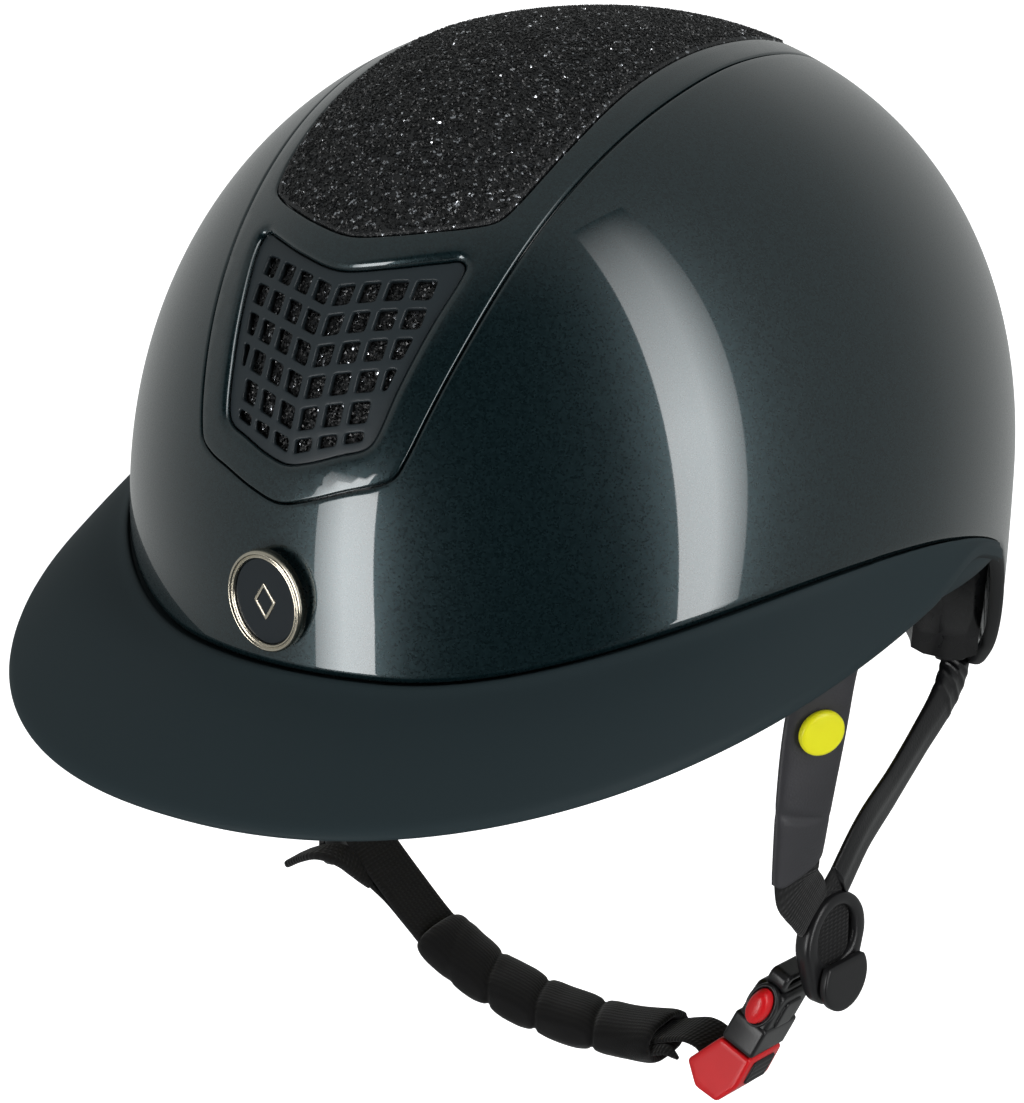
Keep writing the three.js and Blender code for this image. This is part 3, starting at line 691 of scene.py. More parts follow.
def shell_floor():
    holes = [grown(FRONT_VENT_LOOP, 0.3), grown(REAR_VENT_LOOP, 0.3)]
    return panel("shell_floor", [grown(FRAME_LOOP, 0.1), *holes], LACQUER, lift=-1.9, thickness=1.2,
                 edge=(0.1, 0.1), spacing=5.0)


shell = outer_shell()
floor = shell_floor()
finished(shell, "helmet", "lacquer", "outer_shell")
finished(floor, "helmet", "lacquer")

# %% [markdown]
# The centre frame is a glossy plate let into the shell, with a window for the glitter insert
# and one for each vent. Round the front vent its rim slopes down into a recess, which a wide
# rounding gives.

# %% Centre frame and insert
FRAME_WINDOWS = [grown(INSERT_LOOP, 0.3), grown(FRONT_VENT_LOOP, 0.15), grown(REAR_VENT_LOOP, 0.15)]
centre_frame = panel("frame_panel", [FRAME_LOOP, *FRAME_WINDOWS], LACQUER, thickness=1.7, edge=(0.6, 0.6),
                     hole_edges=[(0.6, 0.6), (1.9, 1.5), (1.5, 1.3)], spacing=1.6)
finished(centre_frame, "helmet", "lacquer", "centre_frame")
top_insert = panel("glitter_insert", [INSERT_LOOP], MESH_FABRIC, lift=0.15, thickness=1.6, edge=(0.9, 0.6),
                   spacing=2.0)
finished(top_insert, "helmet", "glitter", "top_insert")

# %% [markdown]
# A vent grille is a moulded plate with rows of small rounded holes. The rows bend up from the
# middle as the top edge does, and a hole that meets the side is cut along it. Glitter mesh
# shows through the holes.

# %% Vent grilles
HOLE_PITCH = 6.2
HOLE_WIDTH = 4.5
HOLE_HEIGHT = 4.9


def rounded_polygon(corners, radius, steps=4):
    """Cuts each corner with a small curve."""
    points = []
    corners = np.asarray(corners, float)
    for i, corner in enumerate(corners):
        before, after = corners[i - 1], corners[(i + 1) % len(corners)]
        start = corner + (before - corner) * min(0.45, radius / np.linalg.norm(before - corner))
        end = corner + (after - corner) * min(0.45, radius / np.linalg.norm(after - corner))
        for t in np.linspace(0, 1, steps):
            points.append((1 - t) ** 2 * start + 2 * t * (1 - t) * corner + t**2 * end)
    return np.array(points)


def clipped(corners, line_point, line_normal):
    """The part of a polygon on the inner side of a line."""
    kept = []
    for i, here in enumerate(corners):
        there = corners[(i + 1) % len(corners)]
        a, b = np.dot(here - line_point, line_normal), np.dot(there - line_point, line_normal)
        if a <= 0:
            kept.append(here)
        if a * b < 0:
            kept.append(here + (there - here) * (a / (a - b)))
    return kept


def vent_holes(rows, slope, sides, ends):
    """Holes at +x and -x for each row; sides and ends are (point, normal) lines that cut them."""
    holes = []
    for row in rows:
        for column in range(4):
            x = HOLE_PITCH * (column + 0.5)
            middle = math.radians(row) * PANEL_RADIUS + slope * (x - HOLE_PITCH)
            half_w, half_h, rise = HOLE_WIDTH / 2, HOLE_HEIGHT / 2, slope * HOLE_WIDTH / 2
            corners = [np.array(c) for c in (
                (x - half_w, middle - half_h - rise), (x + half_w, middle - half_h + rise),
                (x + half_w, middle + half_h + rise), (x - half_w, middle + half_h - rise))]
            for point, normal in (*sides, *ends):
                corners = clipped(corners, point, normal)
            wide = np.ptp([c[0] for c in corners]) if corners else 0
            tall = np.ptp([c[1] for c in corners]) if corners else 0
            if min(wide, tall) < 1.4:
                continue
            hole = rounded_polygon(corners, 0.8)
            holes += [hole, hole[::-1] * [-1, 1]]
    return holes


def line_beside(first, second, inset):
    """A cutting line through two (x, degrees) points, moved inwards, with its outward normal."""
    a, b = [np.array([x, math.radians(angle) * PANEL_RADIUS]) for x, angle in (first, second)]
    along = (b - a) / np.linalg.norm(b - a)
    normal = np.array([along[1], -along[0]])
    return a - normal * inset, normal


front_holes = vent_holes(
    [17.55, 20.9, 24.3, 27.75, 31.2, 34.65], 0.27,
    [line_beside((19.9, 18.5), (28.9, 40), 1.9)], [line_beside((0, 15.4), (19.7, 18.5), 2.0)])
rear_holes = vent_holes(
    [131.2, 134.9, 138.6, 142.3], 0.0,
    [line_beside((20.6, 128.4), (14.6, 145), 1.9)], [line_beside((14, 145.6), (0, 146.2), 1.6)])
front_grille = panel("front_grille", [FRONT_VENT_LOOP, *front_holes], GRILLE_MATTE, lift=-1.7, thickness=1.5,
                     edge=(0.4, 0.4), hole_edges=[(0.45, 0.45)] * len(front_holes), spacing=1.6)
finished(front_grille, "helmet", "grille", "front_vent_grille")
rear_grille = panel("rear_grille", [REAR_VENT_LOOP, *rear_holes], GRILLE_MATTE, lift=-1.7, thickness=1.5,
                    edge=(0.4, 0.4), hole_edges=[(0.45, 0.45)] * len(rear_holes), spacing=1.6)
finished(rear_grille, "helmet", "grille", "rear_vent_grille")
for label, loop in (("front", FRONT_VENT_LOOP), ("rear", REAR_VENT_LOOP)):
    backing = panel(f"{label}_mesh", [loop], MESH_FABRIC, lift=-3.6, thickness=0.8,
                    edge=(0.2, 0.2), spacing=3.0)
    finished(backing, "helmet", "glitter", f"{label}_vent_mesh")

# %% [markdown]
# The black insert is covered with tiny faceted grains, a few of them silvered. Thousands of
# small things on a surface are what Geometry Nodes are for: points are scattered on a bare
# sheet that follows the insert, an eight-sided grain stands on each, and the result is made
# plain mesh. The seed is fixed, so every run gives the same grains.

# %% Geometry node helpers


class Tree:
    """A geometry node tree with named inputs, applied to a piece as plain mesh."""

    def __init__(self, name):
        self.tree = bpy.data.node_groups.new(name, "GeometryNodeTree")
        self.tree.interface.new_socket("Geometry", in_out="INPUT", socket_type="NodeSocketGeometry")
        self.tree.interface.new_socket("Geometry", in_out="OUTPUT", socket_type="NodeSocketGeometry")
        self.values = {}

    def input(self, name, kind, value):
        socket = self.tree.interface.new_socket(name, in_out="INPUT", socket_type=f"NodeSocket{kind}")
        self.values[socket.identifier] = value
        return name

    def start(self):
        self.group_in = self.tree.nodes.new("NodeGroupInput")
        return self

    def given(self, name):
        return self.group_in.outputs[name]

    def node(self, kind, settings=None, inputs=None):
        made = self.tree.nodes.new(kind)
        for key, value in (settings or {}).items():
            setattr(made, key, value)
        for key, value in (inputs or {}).items():
            if isinstance(value, bpy.types.NodeSocket):
                self.tree.links.new(value, made.inputs[key])
            else:
                made.inputs[key].default_value = value
        return made.outputs

    def bake(self, piece, result, material, name):
        """Ends the tree, runs it on a piece and returns the result as a new plain piece."""
        real = self.node("GeometryNodeRealizeInstances", {}, {0: result})
        painted = self.node("GeometryNodeSetMaterial", {}, {0: real[0], 2: material})
        out = self.tree.nodes.new("NodeGroupOutput")
        self.tree.links.new(painted[0], out.inputs[0])
        modifier = piece.modifiers.new("grow", "NODES")
        modifier.node_group = self.tree
        for identifier, value in self.values.items():
            modifier[identifier] = value
        depsgraph = bpy.context.evaluated_depsgraph_get()
        mesh = bpy.data.meshes.new_from_object(piece.evaluated_get(depsgraph))
        piece.modifiers.remove(modifier)
        made = bpy.data.objects.new(name, mesh)
        mesh.name = name
        bpy.context.scene.collection.objects.link(made)
        return made


def grains(name, loop, lift, size, density, seed):
    flat, faces = fill([loop], 3.0)
    sheet = make_mesh(f"{name}_sheet", over_crown(flat, lift), [tuple(f) for f in faces], GRANULES)
    tree = Tree(name)
    tree.input("Size", "Float", size * MM)
    tree.input("Density", "Float", density / MM**2)
    tree.input("Seed", "Int", seed)
    tree.start()
    spots = tree.node("GeometryNodeDistributePointsOnFaces", {"distribute_method": "POISSON"}, {
        "Mesh": tree.given("Geometry"), "Distance Min": size * MM * 0.7, "Density Max": tree.given("Density"),
        "Seed": tree.given("Seed")})
    grain = tree.node("GeometryNodeMeshUVSphere", {}, {
        "Segments": 4, "Rings": 2, "Radius": tree.given("Size")})
    turn = tree.node("FunctionNodeRandomValue", {"data_type": "FLOAT_VECTOR"}, {
        1: (6.28, 6.28, 6.28), "Seed": seed})
    swell = tree.node("FunctionNodeRandomValue", {"data_type": "FLOAT"}, {
        2: 0.62, 3: 1.15, "Seed": seed + 1})
    spread = tree.node("GeometryNodeInstanceOnPoints", {}, {
        "Points": spots["Points"], "Instance": grain["Mesh"], "Rotation": turn[0], "Scale": swell[1]})
    made = tree.bake(sheet, spread[0], GRANULES, name)
    bpy.data.objects.remove(sheet)
    made.data.polygons.foreach_set("use_smooth", [False] * len(made.data.polygons))
    return made


crown_grains = grains("crown_grains", grown(INSERT_LOOP, -0.9), 0.2, 0.46, 2.1, 7)
finished(crown_grains, "helmet", "glitter")
for label, loop, seed in (("front", FRONT_VENT_LOOP, 11), ("rear", REAR_VENT_LOOP, 13)):
    vent_grains = grains(f"{label}_vent_grains", grown(loop, -1.0), -3.55, 0.46, 1.9, seed)
    finished(vent_grains, "helmet", "glitter")

# %% [markdown]
# The peak is one moulding that starts as a band under the shell and spreads into a brim. It
# is lofted: the same cross-section is carried round the head, and its outer end follows an
# edge curve of its own. A low lip runs along the shell, with a dark gap between them.

# %% Peak
PEAK_HALF_WIDTH = 112.16
PEAK_REACH = 140.59
PEAK_CENTRE = -20.3
PEAK_POWER = 2.19
PEAK_HEIGHTS = (-9.57, 27.12, 6.74, -4.9)
PEAK_TURN = math.radians(107)
EDGE_TURN = math.radians(111)
PEAK_SPREAD = 38
BAND_HEIGHT = 21.7
CROWN_RISE = 1.5


def signed_power(value, power):
    return np.sign(value) * np.abs(value) ** power


def peak_edge(span):
    phi = span * EDGE_TURN
    fold = 1 - np.cos(phi)
    outer = np.stack([
        PEAK_HALF_WIDTH * signed_power(np.sin(phi), 2 / PEAK_POWER),
        PEAK_CENTRE - PEAK_REACH * signed_power(np.cos(phi), 2 / PEAK_POWER),
        sum(height * fold**k for k, height in enumerate(PEAK_HEIGHTS))], -1)
    theta = span * PEAK_TURN
    lip = at_height(theta, shell_edge(theta) - 1.6, -0.9)
    share = smooth_step(np.abs(span), 0.80, 0.95)[:, None]
    return outer + (lip - outer) * share


def peak_ring(span, section):
    """The peak's section at each span from -1 to 1, as rows of points."""
    theta = span * PEAK_TURN
    top = shell_edge(theta) - 0.5
    root = at_height(theta, top)
    edge = peak_edge(span)
    columns = []
    for out, up in section:
        if out <= 0:
            height = top + (up / BAND_HEIGHT) * (top - rim_height(theta))
            columns.append(at_height(theta, height, -out))
            continue
        share = out / PEAK_SPREAD
        point = root + (edge - root) * share
        point[:, 2] += up + CROWN_RISE * 4 * share * (1 - share) * (1 - np.abs(span))
        columns.append(point)
    return np.stack(columns, 1)


PEAK_SECTION = [
    (-3.2, -0.6), (-1.6, -0.6), (-0.1, -0.8), (0.2, -0.75), (0.4, -0.3), (0.6, 0.25), (1.0, 0.6), (1.6, 0.7),
    (2.4, 0.6), (3.4, 0.3), (5.0, 0.05), (9, 0), (14, 0), (19, 0), (24, 0), (29, 0), (33, 0), (35.6, 0),
    (36.6, -0.07), (37.3, -0.3), (37.8, -0.8), (38, -1.35), (37.8, -1.9), (37.2, -2.35), (36.2, -2.55),
    (33, -2.6), (25, -2.6), (16, -2.6), (8, -2.6), (3.4, -2.7), (1.6, -3.2), (0.5, -4.4), (0, -6),
    (0, -14), (0, -20.6), (-0.7, -21.5), (-2.5, -21.5), (-3.2, -20.6), (-3.2, -10)]
peak = strip("peak", peak_ring(np.linspace(-1, 1, 281), PEAK_SECTION), PEAK_MATTE)
finished(peak, "helmet", "peak", "peak")

# %% [markdown]
# Behind the ears a soft rubber lip closes the shell's edge. It is the same kind of sweep as the
# peak: one small rounded section, carried round the rim.

# %% Rear lip
RUBBER = soft_matte("trim_rubber", (0.012, 0.013, 0.014), (0.016, 0.017, 0.018), 0.62)
TRIM_SECTION = [
    (0.5, -0.75), (0.1, -0.85), (-0.1, -1.3), (-0.15, -1.9), (0, -2.5), (0.3, -3.1), (0.8, -3.45),
    (1.6, -3.55), (2.6, -3.45), (3.2, -3.0), (3.45, -2.3), (3.4, -1.4), (3.1, -0.85), (1.4, -0.7)]
trim_theta = np.linspace(math.radians(107.5), math.radians(252.5), 181)
trim_columns = [at_height(trim_theta, shell_edge(trim_theta) + up, inset) for inset, up in TRIM_SECTION]
rear_trim = strip("rear_trim", np.stack(trim_columns, 1), RUBBER)
finished(rear_trim, "helmet", "rubber", "rear_edge_trim")

# %% [markdown]
# The badge is an oval with a doubled metal rim round a dark enamel plate. It carries a plain
# lozenge. Its own flat coordinates are turned to stand on the shell's front, so the panel
# maker can be used for it as well.

# %% Badge
BADGE_HALF_WIDTH = 10.2
BADGE_HALF_HEIGHT = 12.0
BADGE_TILT = math.radians(93.5)
BADGE_MIDDLE = np.array([0.0, at_height(np.array([0.0]), 28.0)[0, 1] - 1.1, 28.0])


def flat_place(origin, across, up, out):
    """Puts flat (a, b) and a lift into space, on the given directions."""
    def place(flat, lift=0.0):
        flat = np.asarray(flat, float)
        return origin + flat[..., :1] * across + flat[..., 1:2] * up + np.asarray(out) * lift
    return place


badge_place = flat_place(
    BADGE_MIDDLE, np.array([1.0, 0, 0]), np.array([0, math.cos(BADGE_TILT), math.sin(BADGE_TILT)]),
    np.array([0, -math.sin(BADGE_TILT), math.cos(BADGE_TILT)]))


def oval(half_width, half_height, count=160):
    angle = np.linspace(0, 2 * math.pi, count, endpoint=False)
    return np.stack([half_width * np.cos(angle), half_height * np.sin(angle)], -1)


def oval_ring(name, half_width, half_height, section, place, material, count=160):
    """A ring whose section is (inwards from the rim, height) points."""
    columns = [place(oval(half_width - inwards, half_height - inwards, count), lift)
               for inwards, lift in section]
    return strip(name, np.stack(columns, 1), material, closed_rows=True)


ENAMEL = soft_matte("badge_enamel", (0.010, 0.015, 0.019), (0.013, 0.019, 0.024), 0.22)
BEZEL_SECTION = [
    (0, 0), (0, 1.9), (0.15, 2.4), (0.45, 2.7), (0.75, 2.65), (0.95, 2.35), (1.05, 2.2), (1.2, 2.35),
    (1.4, 2.5), (1.62, 2.4), (1.8, 2.0), (1.8, 0)]
bezel = oval_ring("badge_rim", BADGE_HALF_WIDTH, BADGE_HALF_HEIGHT, BEZEL_SECTION, badge_place, SILVER)
finished(bezel, "helmet", "silver", "badge_bezel")
plate_loop = oval(BADGE_HALF_WIDTH - 1.9, BADGE_HALF_HEIGHT - 1.9, 120)
enamel_plate = panel("badge_enamel_plate", [plate_loop], ENAMEL, lift=1.75, thickness=1.7, edge=(0.3, 0.2),
                     spacing=1.5, place=badge_place)
finished(enamel_plate, "helmet", "enamel", "badge_plate")
lozenge_loop = rounded_polygon([(0, -4.6), (3.0, 0), (0, 4.6), (-3.0, 0)], 0.6, 6)
lozenge_hole = rounded_polygon([(0, -3.4), (2.2, 0), (0, 3.4), (-2.2, 0)][::-1], 0.5, 6)
lozenge = panel("badge_lozenge", [lozenge_loop, lozenge_hole], SILVER, lift=2.05, thickness=0.4,
                edge=(0.2, 0.15), spacing=0.6, place=badge_place)
finished(lozenge, "helmet", "silver")

# %% [markdown]
# Inside the shell come the linings: a thick liner of foamed beads, which crushes in a fall,
# and a thin yellow slip layer that can turn a few degrees inside it. Both are smooth layers
# of the same dome. The beads are a Voronoi pattern, seen as shallow cells.

# %% Hard linings


def bead_foam():
    finish = Finish("bead_foam", (0.010, 0.010, 0.011), 0.4, 0.0, Specular_IOR_Level=0.5)
    beads = finish.cells(finish.place(), 330.0)
    tone = finish.axis(finish.cells(finish.place(), 330.0, output=1), "X")
    finish.feed("Base Color", finish.blend(tone, (0.007, 0.007, 0.008), (0.013, 0.013, 0.014)))
    finish.feed("Roughness", 0.22 + tone * 0.10)
    finish.bump(1 - beads, 0.00012, 0.3)
    return finish.material


def slip_plastic():
    finish = Finish("slip_plastic", (0.72, 0.58, 0.02), 0.38, 0.0, Specular_IOR_Level=0.5)
    mottle = finish.noise(finish.place(), 60.0, 4.0)
    finish.feed("Base Color", finish.blend(mottle, (0.76, 0.62, 0.02), (0.62, 0.50, 0.02)))
    finish.feed("Roughness", 0.32 + mottle * 0.14)
    finish.bump(finish.noise(finish.place(), 900.0, 2.0), 0.00006, 0.4)
    return finish.material


BEAD_FOAM = bead_foam()
SLIP_PLASTIC = slip_plastic()
EPS_INSET = 4.6
EPS_THICKNESS = 17.4
SLIP_INSET = 24.6
SLIP_THICKNESS = 1.0
PAD_INSET = 27.0


def dome_layer(name, inset, thickness, edge_of, rounded, material, rings=22):
    """A smooth layer of the dome down to an edge, closed, with a rounded rim."""
    turn = np.linspace(0, 2 * math.pi, 240, endpoint=False)
    low = edge_elevations(turn, lambda theta: edge_of(theta) + rounded)
    rim = edge_elevations(turn, edge_of)
    full = np.ones(len(turn))
    rows = [lifted(from_polar(turn, low + (math.pi / 2 - low) * share), -inset * full)
            for share in np.linspace(1, 0, rings)]
    middle = thickness / 2
    rows += [lifted(from_polar(turn, rim + (low - rim) * 0.25), -(inset + 0.2 * thickness) * full),
             lifted(from_polar(turn, rim), -(inset + middle) * full),
             lifted(from_polar(turn, rim + (low - rim) * 0.25), -(inset + 0.8 * thickness) * full)]
    rows += [lifted(from_polar(turn, low + (math.pi / 2 - low) * share), -(inset + thickness) * full)
             for share in np.linspace(0, 1, rings)]
    return strip(name, np.stack(rows), material, caps=False)


def eps_edge(theta):
    turn = turn_from_front(theta)
    front = np.where(turn < 105, rim_height(theta), 14) + 2
    rear = -29 - 2 * smooth_step(turn, 122, 132)
    return front + (rear - front) * smooth_step(turn, 119.5, 122)


def slip_edge(theta):
    return rim_height(theta) + 6 + 28 * smooth_step(turn_from_front(theta), 96, 116)


impact_liner = dome_layer("bead_liner", EPS_INSET, EPS_THICKNESS, eps_edge, 2.0, BEAD_FOAM)
finished(impact_liner, "helmet", "foam", "impact_liner")

# %% [markdown]
# The slip layer is a thin plastic bowl that can turn a few degrees under the shell. Small
# rubber anchors hold it through round windows. The windows are cut with booleans, which is
# quicker than weaving them into the bowl's rings.

# %% Slip layer
SLIP_ANCHORS = [(55, 40), (-55, 40), (125, 42), (-125, 42)]
ANCHOR_WINDOW = 8.5


def anchor_axis(turn_deg, alpha_deg):
    """The place of an anchor on the dome and the direction out of the dome there."""
    theta, alpha = math.radians(turn_deg), math.radians(alpha_deg)
    rise = HEIGHT_ABOVE * math.sin(alpha) ** (2 / POWER_ABOVE)
    point = at_height(np.array([theta]), WIDEST_LEVEL + rise)
    return point[0], dome_normal(point)[0]


def cut_with(piece, cutters):
    """Takes the cutters away from a piece and leaves plain mesh."""
    for cutter in cutters:
        modifier = piece.modifiers.new("cut", "BOOLEAN")
        modifier.operation = "DIFFERENCE"
        modifier.solver = "EXACT"
        modifier.object = cutter
    mesh = bpy.data.meshes.new_from_object(piece.evaluated_get(bpy.context.evaluated_depsgraph_get()))
    piece.modifiers.clear()
    piece.data = mesh
    for cutter in cutters:
        bpy.data.objects.remove(cutter)
    return piece


def across_directions(axis):
    side = np.cross(axis, [0, 0, 1.0])
    side = side / np.linalg.norm(side)
    return side, np.cross(axis, side)


def turned(name, origin, axis, profile, material, count=48):
    """A round piece from (radius, height along the axis) points."""
    side, other = across_directions(axis)
    angle = np.linspace(0, 2 * math.pi, count, endpoint=False)[:, None]
    ring = np.cos(angle) * side + np.sin(angle) * other
    rows = np.stack([origin + axis * height + ring * radius for radius, height in profile])
    return strip(name, rows, material)


slip_layer = dome_layer("slip_layer", SLIP_INSET, SLIP_THICKNESS, slip_edge, 0.5, SLIP_PLASTIC)
WINDOW_PROFILE = [(ANCHOR_WINDOW, -34), (ANCHOR_WINDOW, -12)]
windows = []
for place in SLIP_ANCHORS:
    point, out = anchor_axis(*place)
    windows.append(turned("window", point, out, WINDOW_PROFILE, SLIP_PLASTIC, 64))
cut_with(slip_layer, windows)
finished(slip_layer, "slip_liner", "slip", "slip_liner")
ANCHOR_PROFILE = [
    (0.01, -25.6), (2.2, -25.6), (2.8, -25.4), (3.0, -24.9), (3.0, -24.5), (2.6, -24.2), (1.7, -24.0),
    (1.7, -23.2)]
for number, place in enumerate(SLIP_ANCHORS, 1):
    point, out = anchor_axis(*place)
    anchor = turned(f"anchor_{number}", point, out, ANCHOR_PROFILE, RUBBER)
    finished(anchor, "helmet", "rubber", f"slip_anchor_{number}")

# %% [markdown]
# The straps come next. A sleeve is smooth synthetic leather folded round the webbing, and
# the webbing is a tight black weave. A ribbon maker carries a flat, round-edged section along
# a curve, and gives it a UV map in metres, so the weave follows the strap wherever it turns.
# A strap can have a shape of its own, which moves the points of each row a little.

# %% Fabric and leather finishes


def woven(name, color, lighter, rib, strand, depth):
    """Webbing: ribs across the strap and strands along it, from its UV map."""
    finish = Finish(name, color, 0.82, 0.0, Sheen_Weight=0.12, Sheen_Roughness=0.5, Specular_IOR_Level=0.25)
    uv = finish.uv()
    ribs = (finish.axis(uv, "X") * (2 * math.pi / (rib * MM))).sine()
    strands = (finish.axis(uv, "Y") * (2 * math.pi / (strand * MM))).sine()
    weave = ribs * 0.7 + strands * 0.3 + ribs * strands * 0.4
    fibre = finish.noise(finish.place(), 1800.0, 3.0)
    finish.feed("Base Color", finish.blend(fibre * 0.6 + weave * 0.2 + 0.2, color, lighter))
    finish.bump(weave + fibre * 0.6, depth * MM)
    return finish.material


def leather(name, color, worn, roughness, grain=1500.0):
    finish = Finish(name, color, roughness, 0.0, Specular_IOR_Level=0.4)
    pores = finish.cells(finish.place(), grain)
    folds = finish.noise(finish.scaled(finish.place(), (40.0, 40.0, 90.0)), 1.0, 4.0, 0.6)
    finish.feed("Base Color", finish.blend(folds, color, worn))
    finish.feed("Roughness", roughness - 0.07 + folds * 0.14)
    finish.bump(pores * 0.6 + folds * 2.0, 0.00012, 0.6)
    return finish.material


def moulded(name, color, roughness, grain=1400.0):
    finish = Finish(name, color, roughness, 0.0, Specular_IOR_Level=0.35)
    wear = finish.noise(finish.place(), 90.0, 3.0)
    lighter = tuple(min(1.0, channel * 1.25 + 0.002) for channel in color)
    finish.feed("Base Color", finish.blend(wear, color, lighter))
    finish.feed("Roughness", roughness - 0.06 + wear * 0.12)
    finish.bump(finish.noise(finish.place(), grain, 2.0), 0.00004, 0.5)
    return finish.material


WEBBING = woven("black_webbing", (0.0045, 0.0045, 0.0048), (0.010, 0.010, 0.0105), 1.15, 1.7, 0.10)
SLEEVE_LEATHER = leather("sleeve_leather", (0.036, 0.036, 0.041), (0.028, 0.028, 0.032), 0.5)
REAR_LEATHER = leather("rear_leather", (0.004, 0.004, 0.005), (0.007, 0.007, 0.008), 0.33)
BLACK_PLASTIC = moulded("black_plastic", (0.011, 0.011, 0.012), 0.33)
RED_PLASTIC = moulded("red_plastic", (0.62, 0.010, 0.014), 0.30)
YELLOW_PLASTIC = moulded("yellow_plastic", (0.88, 0.82, 0.012), 0.34)
print("fabric finishes ready")

# %% [markdown]
# A strap is a flat section that follows a path and turns with it. The ribbon maker takes the
# path and the direction across the strap, and it lays a UV map along it for the weave.

# %% Ribbon maker


def curve(points, share):
    """Points on a smooth open curve, at shares 0 to 1 of the way from point to point."""
    points = np.asarray(points, float)
    more = np.vstack([2 * points[0] - points[1], points, 2 * points[-1] - points[-2]])
    place = np.clip(share, 0, 1) * (len(points) - 1)
    first = np.minimum(place.astype(int), len(points) - 2)
    return between(more[first], more[first + 1], more[first + 2], more[first + 3], (place - first)[:, None])


def unit(vectors):
    return vectors / np.linalg.norm(vectors, axis=-1, keepdims=True)


def along_frame(points, widths, share):
    """Along a strap: its middle line and its directions along, across and through."""
    along = unit(curve(points, share + 0.004) - curve(points, share - 0.004))
    through = unit(np.cross(along, curve(widths, share)))
    return curve(points, share), along, np.cross(through, along), through


def ribbon(name, points, widths, width, thickness, material, steps=120, fullness=10, shape=None):
    """A flat strap. shape(share, across, through) returns moves (across, through, along) in mm."""
    share = np.linspace(0, 1, steps)
    middle, along, side, through = along_frame(points, widths, share)
    a = np.sin(np.linspace(-math.pi / 2, math.pi / 2, 19))
    t = np.maximum(1 - np.abs(a) ** fullness, 0) ** 0.5
    across = np.concatenate([a, a[-2:0:-1]]) * width / 2
    depth = np.concatenate([t, -t[-2:0:-1]]) * thickness / 2
    across = np.broadcast_to(across, (steps, len(across)))
    depth = np.broadcast_to(depth, (steps, len(depth)))
    moves = shape(share[:, None], across, depth) if shape else (0 * across, 0 * across, 0 * across)
    rows = (middle[:, None] + side[:, None] * (across + moves[0])[..., None]
            + through[:, None] * (depth + moves[1])[..., None] + along[:, None] * moves[2][..., None])
    length = np.concatenate([[0], np.cumsum(np.linalg.norm(np.diff(middle, axis=0), axis=1))])
    uv = np.stack([np.broadcast_to(length[:, None], across.shape), across], -1).reshape(-1, 2) * MM
    return strip(name, rows, material, uv=uv)


def mirrored(side, points):
    return [(side * x, y, z) for x, y, z in points]


# %% [markdown]
# The upper straps run inside soft sleeves. Small bells pressed into the section make the
# folds where a sleeve bends, because bump alone would leave its outline too straight.

# %% Strap sleeves
FRONT_SLEEVE = [(88, -17.5, 9.5), (85.3, -19.6, -2), (82.8, -19.5, -17), (80, -18.9, -39), (77.5, -17, -59.5)]
FRONT_ACROSS = [(0.3, 0.95, -0.05), (0.5, 0.86, 0), (0.56, 0.83, 0), (0.45, 0.89, 0.05), (0.3, 0.95, 0.1)]
FRONT_SLEEVE_WIDTH = 17.5
REAR_SLEEVE = [(71.4, 85, -33), (72.4, 80.5, -38.5), (73.7, 71, -44), (74.4, 56.5, -50), (75.8, 38, -56),
               (77.6, 18, -61.5), (78.2, 4.5, -70)]
REAR_ACROSS = [(-0.4, -0.55, 0.7), (-0.2, -0.5, 0.8), (0, -0.45, 0.85), (0, -0.5, 0.85)]
REAR_SLEEVE_WIDTH = 12

def bell(value, centre, width):
    return np.exp(-(((value - centre) / width) ** 2))


def front_sleeve_shape(share, across, through):
    """A slanted end with round corners, a bowed face and one soft crease."""
    edge = np.abs(across) / (FRONT_SLEEVE_WIDTH / 2)
    slant = -0.30 * across * smooth_step(share, 0.75, 1)
    round_end = -2.2 * edge**6 * smooth_step(share, 0.94, 1)
    crease = bell(share - 0.004 * across, 0.80, 0.014) * bell(across, -1, 7)
    dent = -0.85 * crease * np.sign(through) * (np.abs(through) > 0.3)
    bow = 0.7 * (1 - edge**2)
    narrow = across * (-0.05 * smooth_step(share, 0.55, 1) + 0.04 * bell(share, 0.2, 0.15))
    return narrow, bow + dent, slant + round_end


def rear_sleeve_shape(share, across, through):
    """A little folded lengthwise near the helmet, with soft wrinkles, and wider at its lower end."""
    edge = across / (REAR_SLEEVE_WIDTH / 2)
    fold = 0.9 * np.abs(edge) * (1 - smooth_step(share, 0.3, 0.8))
    wrinkles = sum(bell(share + 0.02 * edge, place, 0.016) for place in (0.10, 0.16, 0.23, 0.31))
    ripple = -0.4 * wrinkles * (1 - 0.4 * edge**2)
    waist = 0.14 * bell(share, 0.45, 0.25) + 0.1 * bell(share, 0, 0.1)
    wide = across * (0.05 * smooth_step(share, 0.7, 1) - waist)
    crease = -0.5 * bell(edge, 0.25, 0.3) * smooth_step(share, 0.3, 0.6)
    return wide, fold + ripple + crease, 0 * across


for label, side in (("left", 1), ("right", -1)):
    front = ribbon(f"{label}_front_strap_sleeve", mirrored(side, FRONT_SLEEVE), mirrored(side, FRONT_ACROSS),
                   FRONT_SLEEVE_WIDTH, 2.4, SLEEVE_LEATHER, 200, 8, front_sleeve_shape)
    finished(front, "helmet", "leather", f"{label}_front_sleeve")
    rear = ribbon(f"{label}_rear_strap_sleeve", mirrored(side, REAR_SLEEVE), mirrored(side, REAR_ACROSS),
                  REAR_SLEEVE_WIDTH, 2.4, REAR_LEATHER, 240, 6, rear_sleeve_shape)
    finished(rear, "helmet", "leather", f"{label}_rear_sleeve")

# %% [markdown]
# Where the sleeves end, bare webbing goes on to the divider and narrows to fit through it.

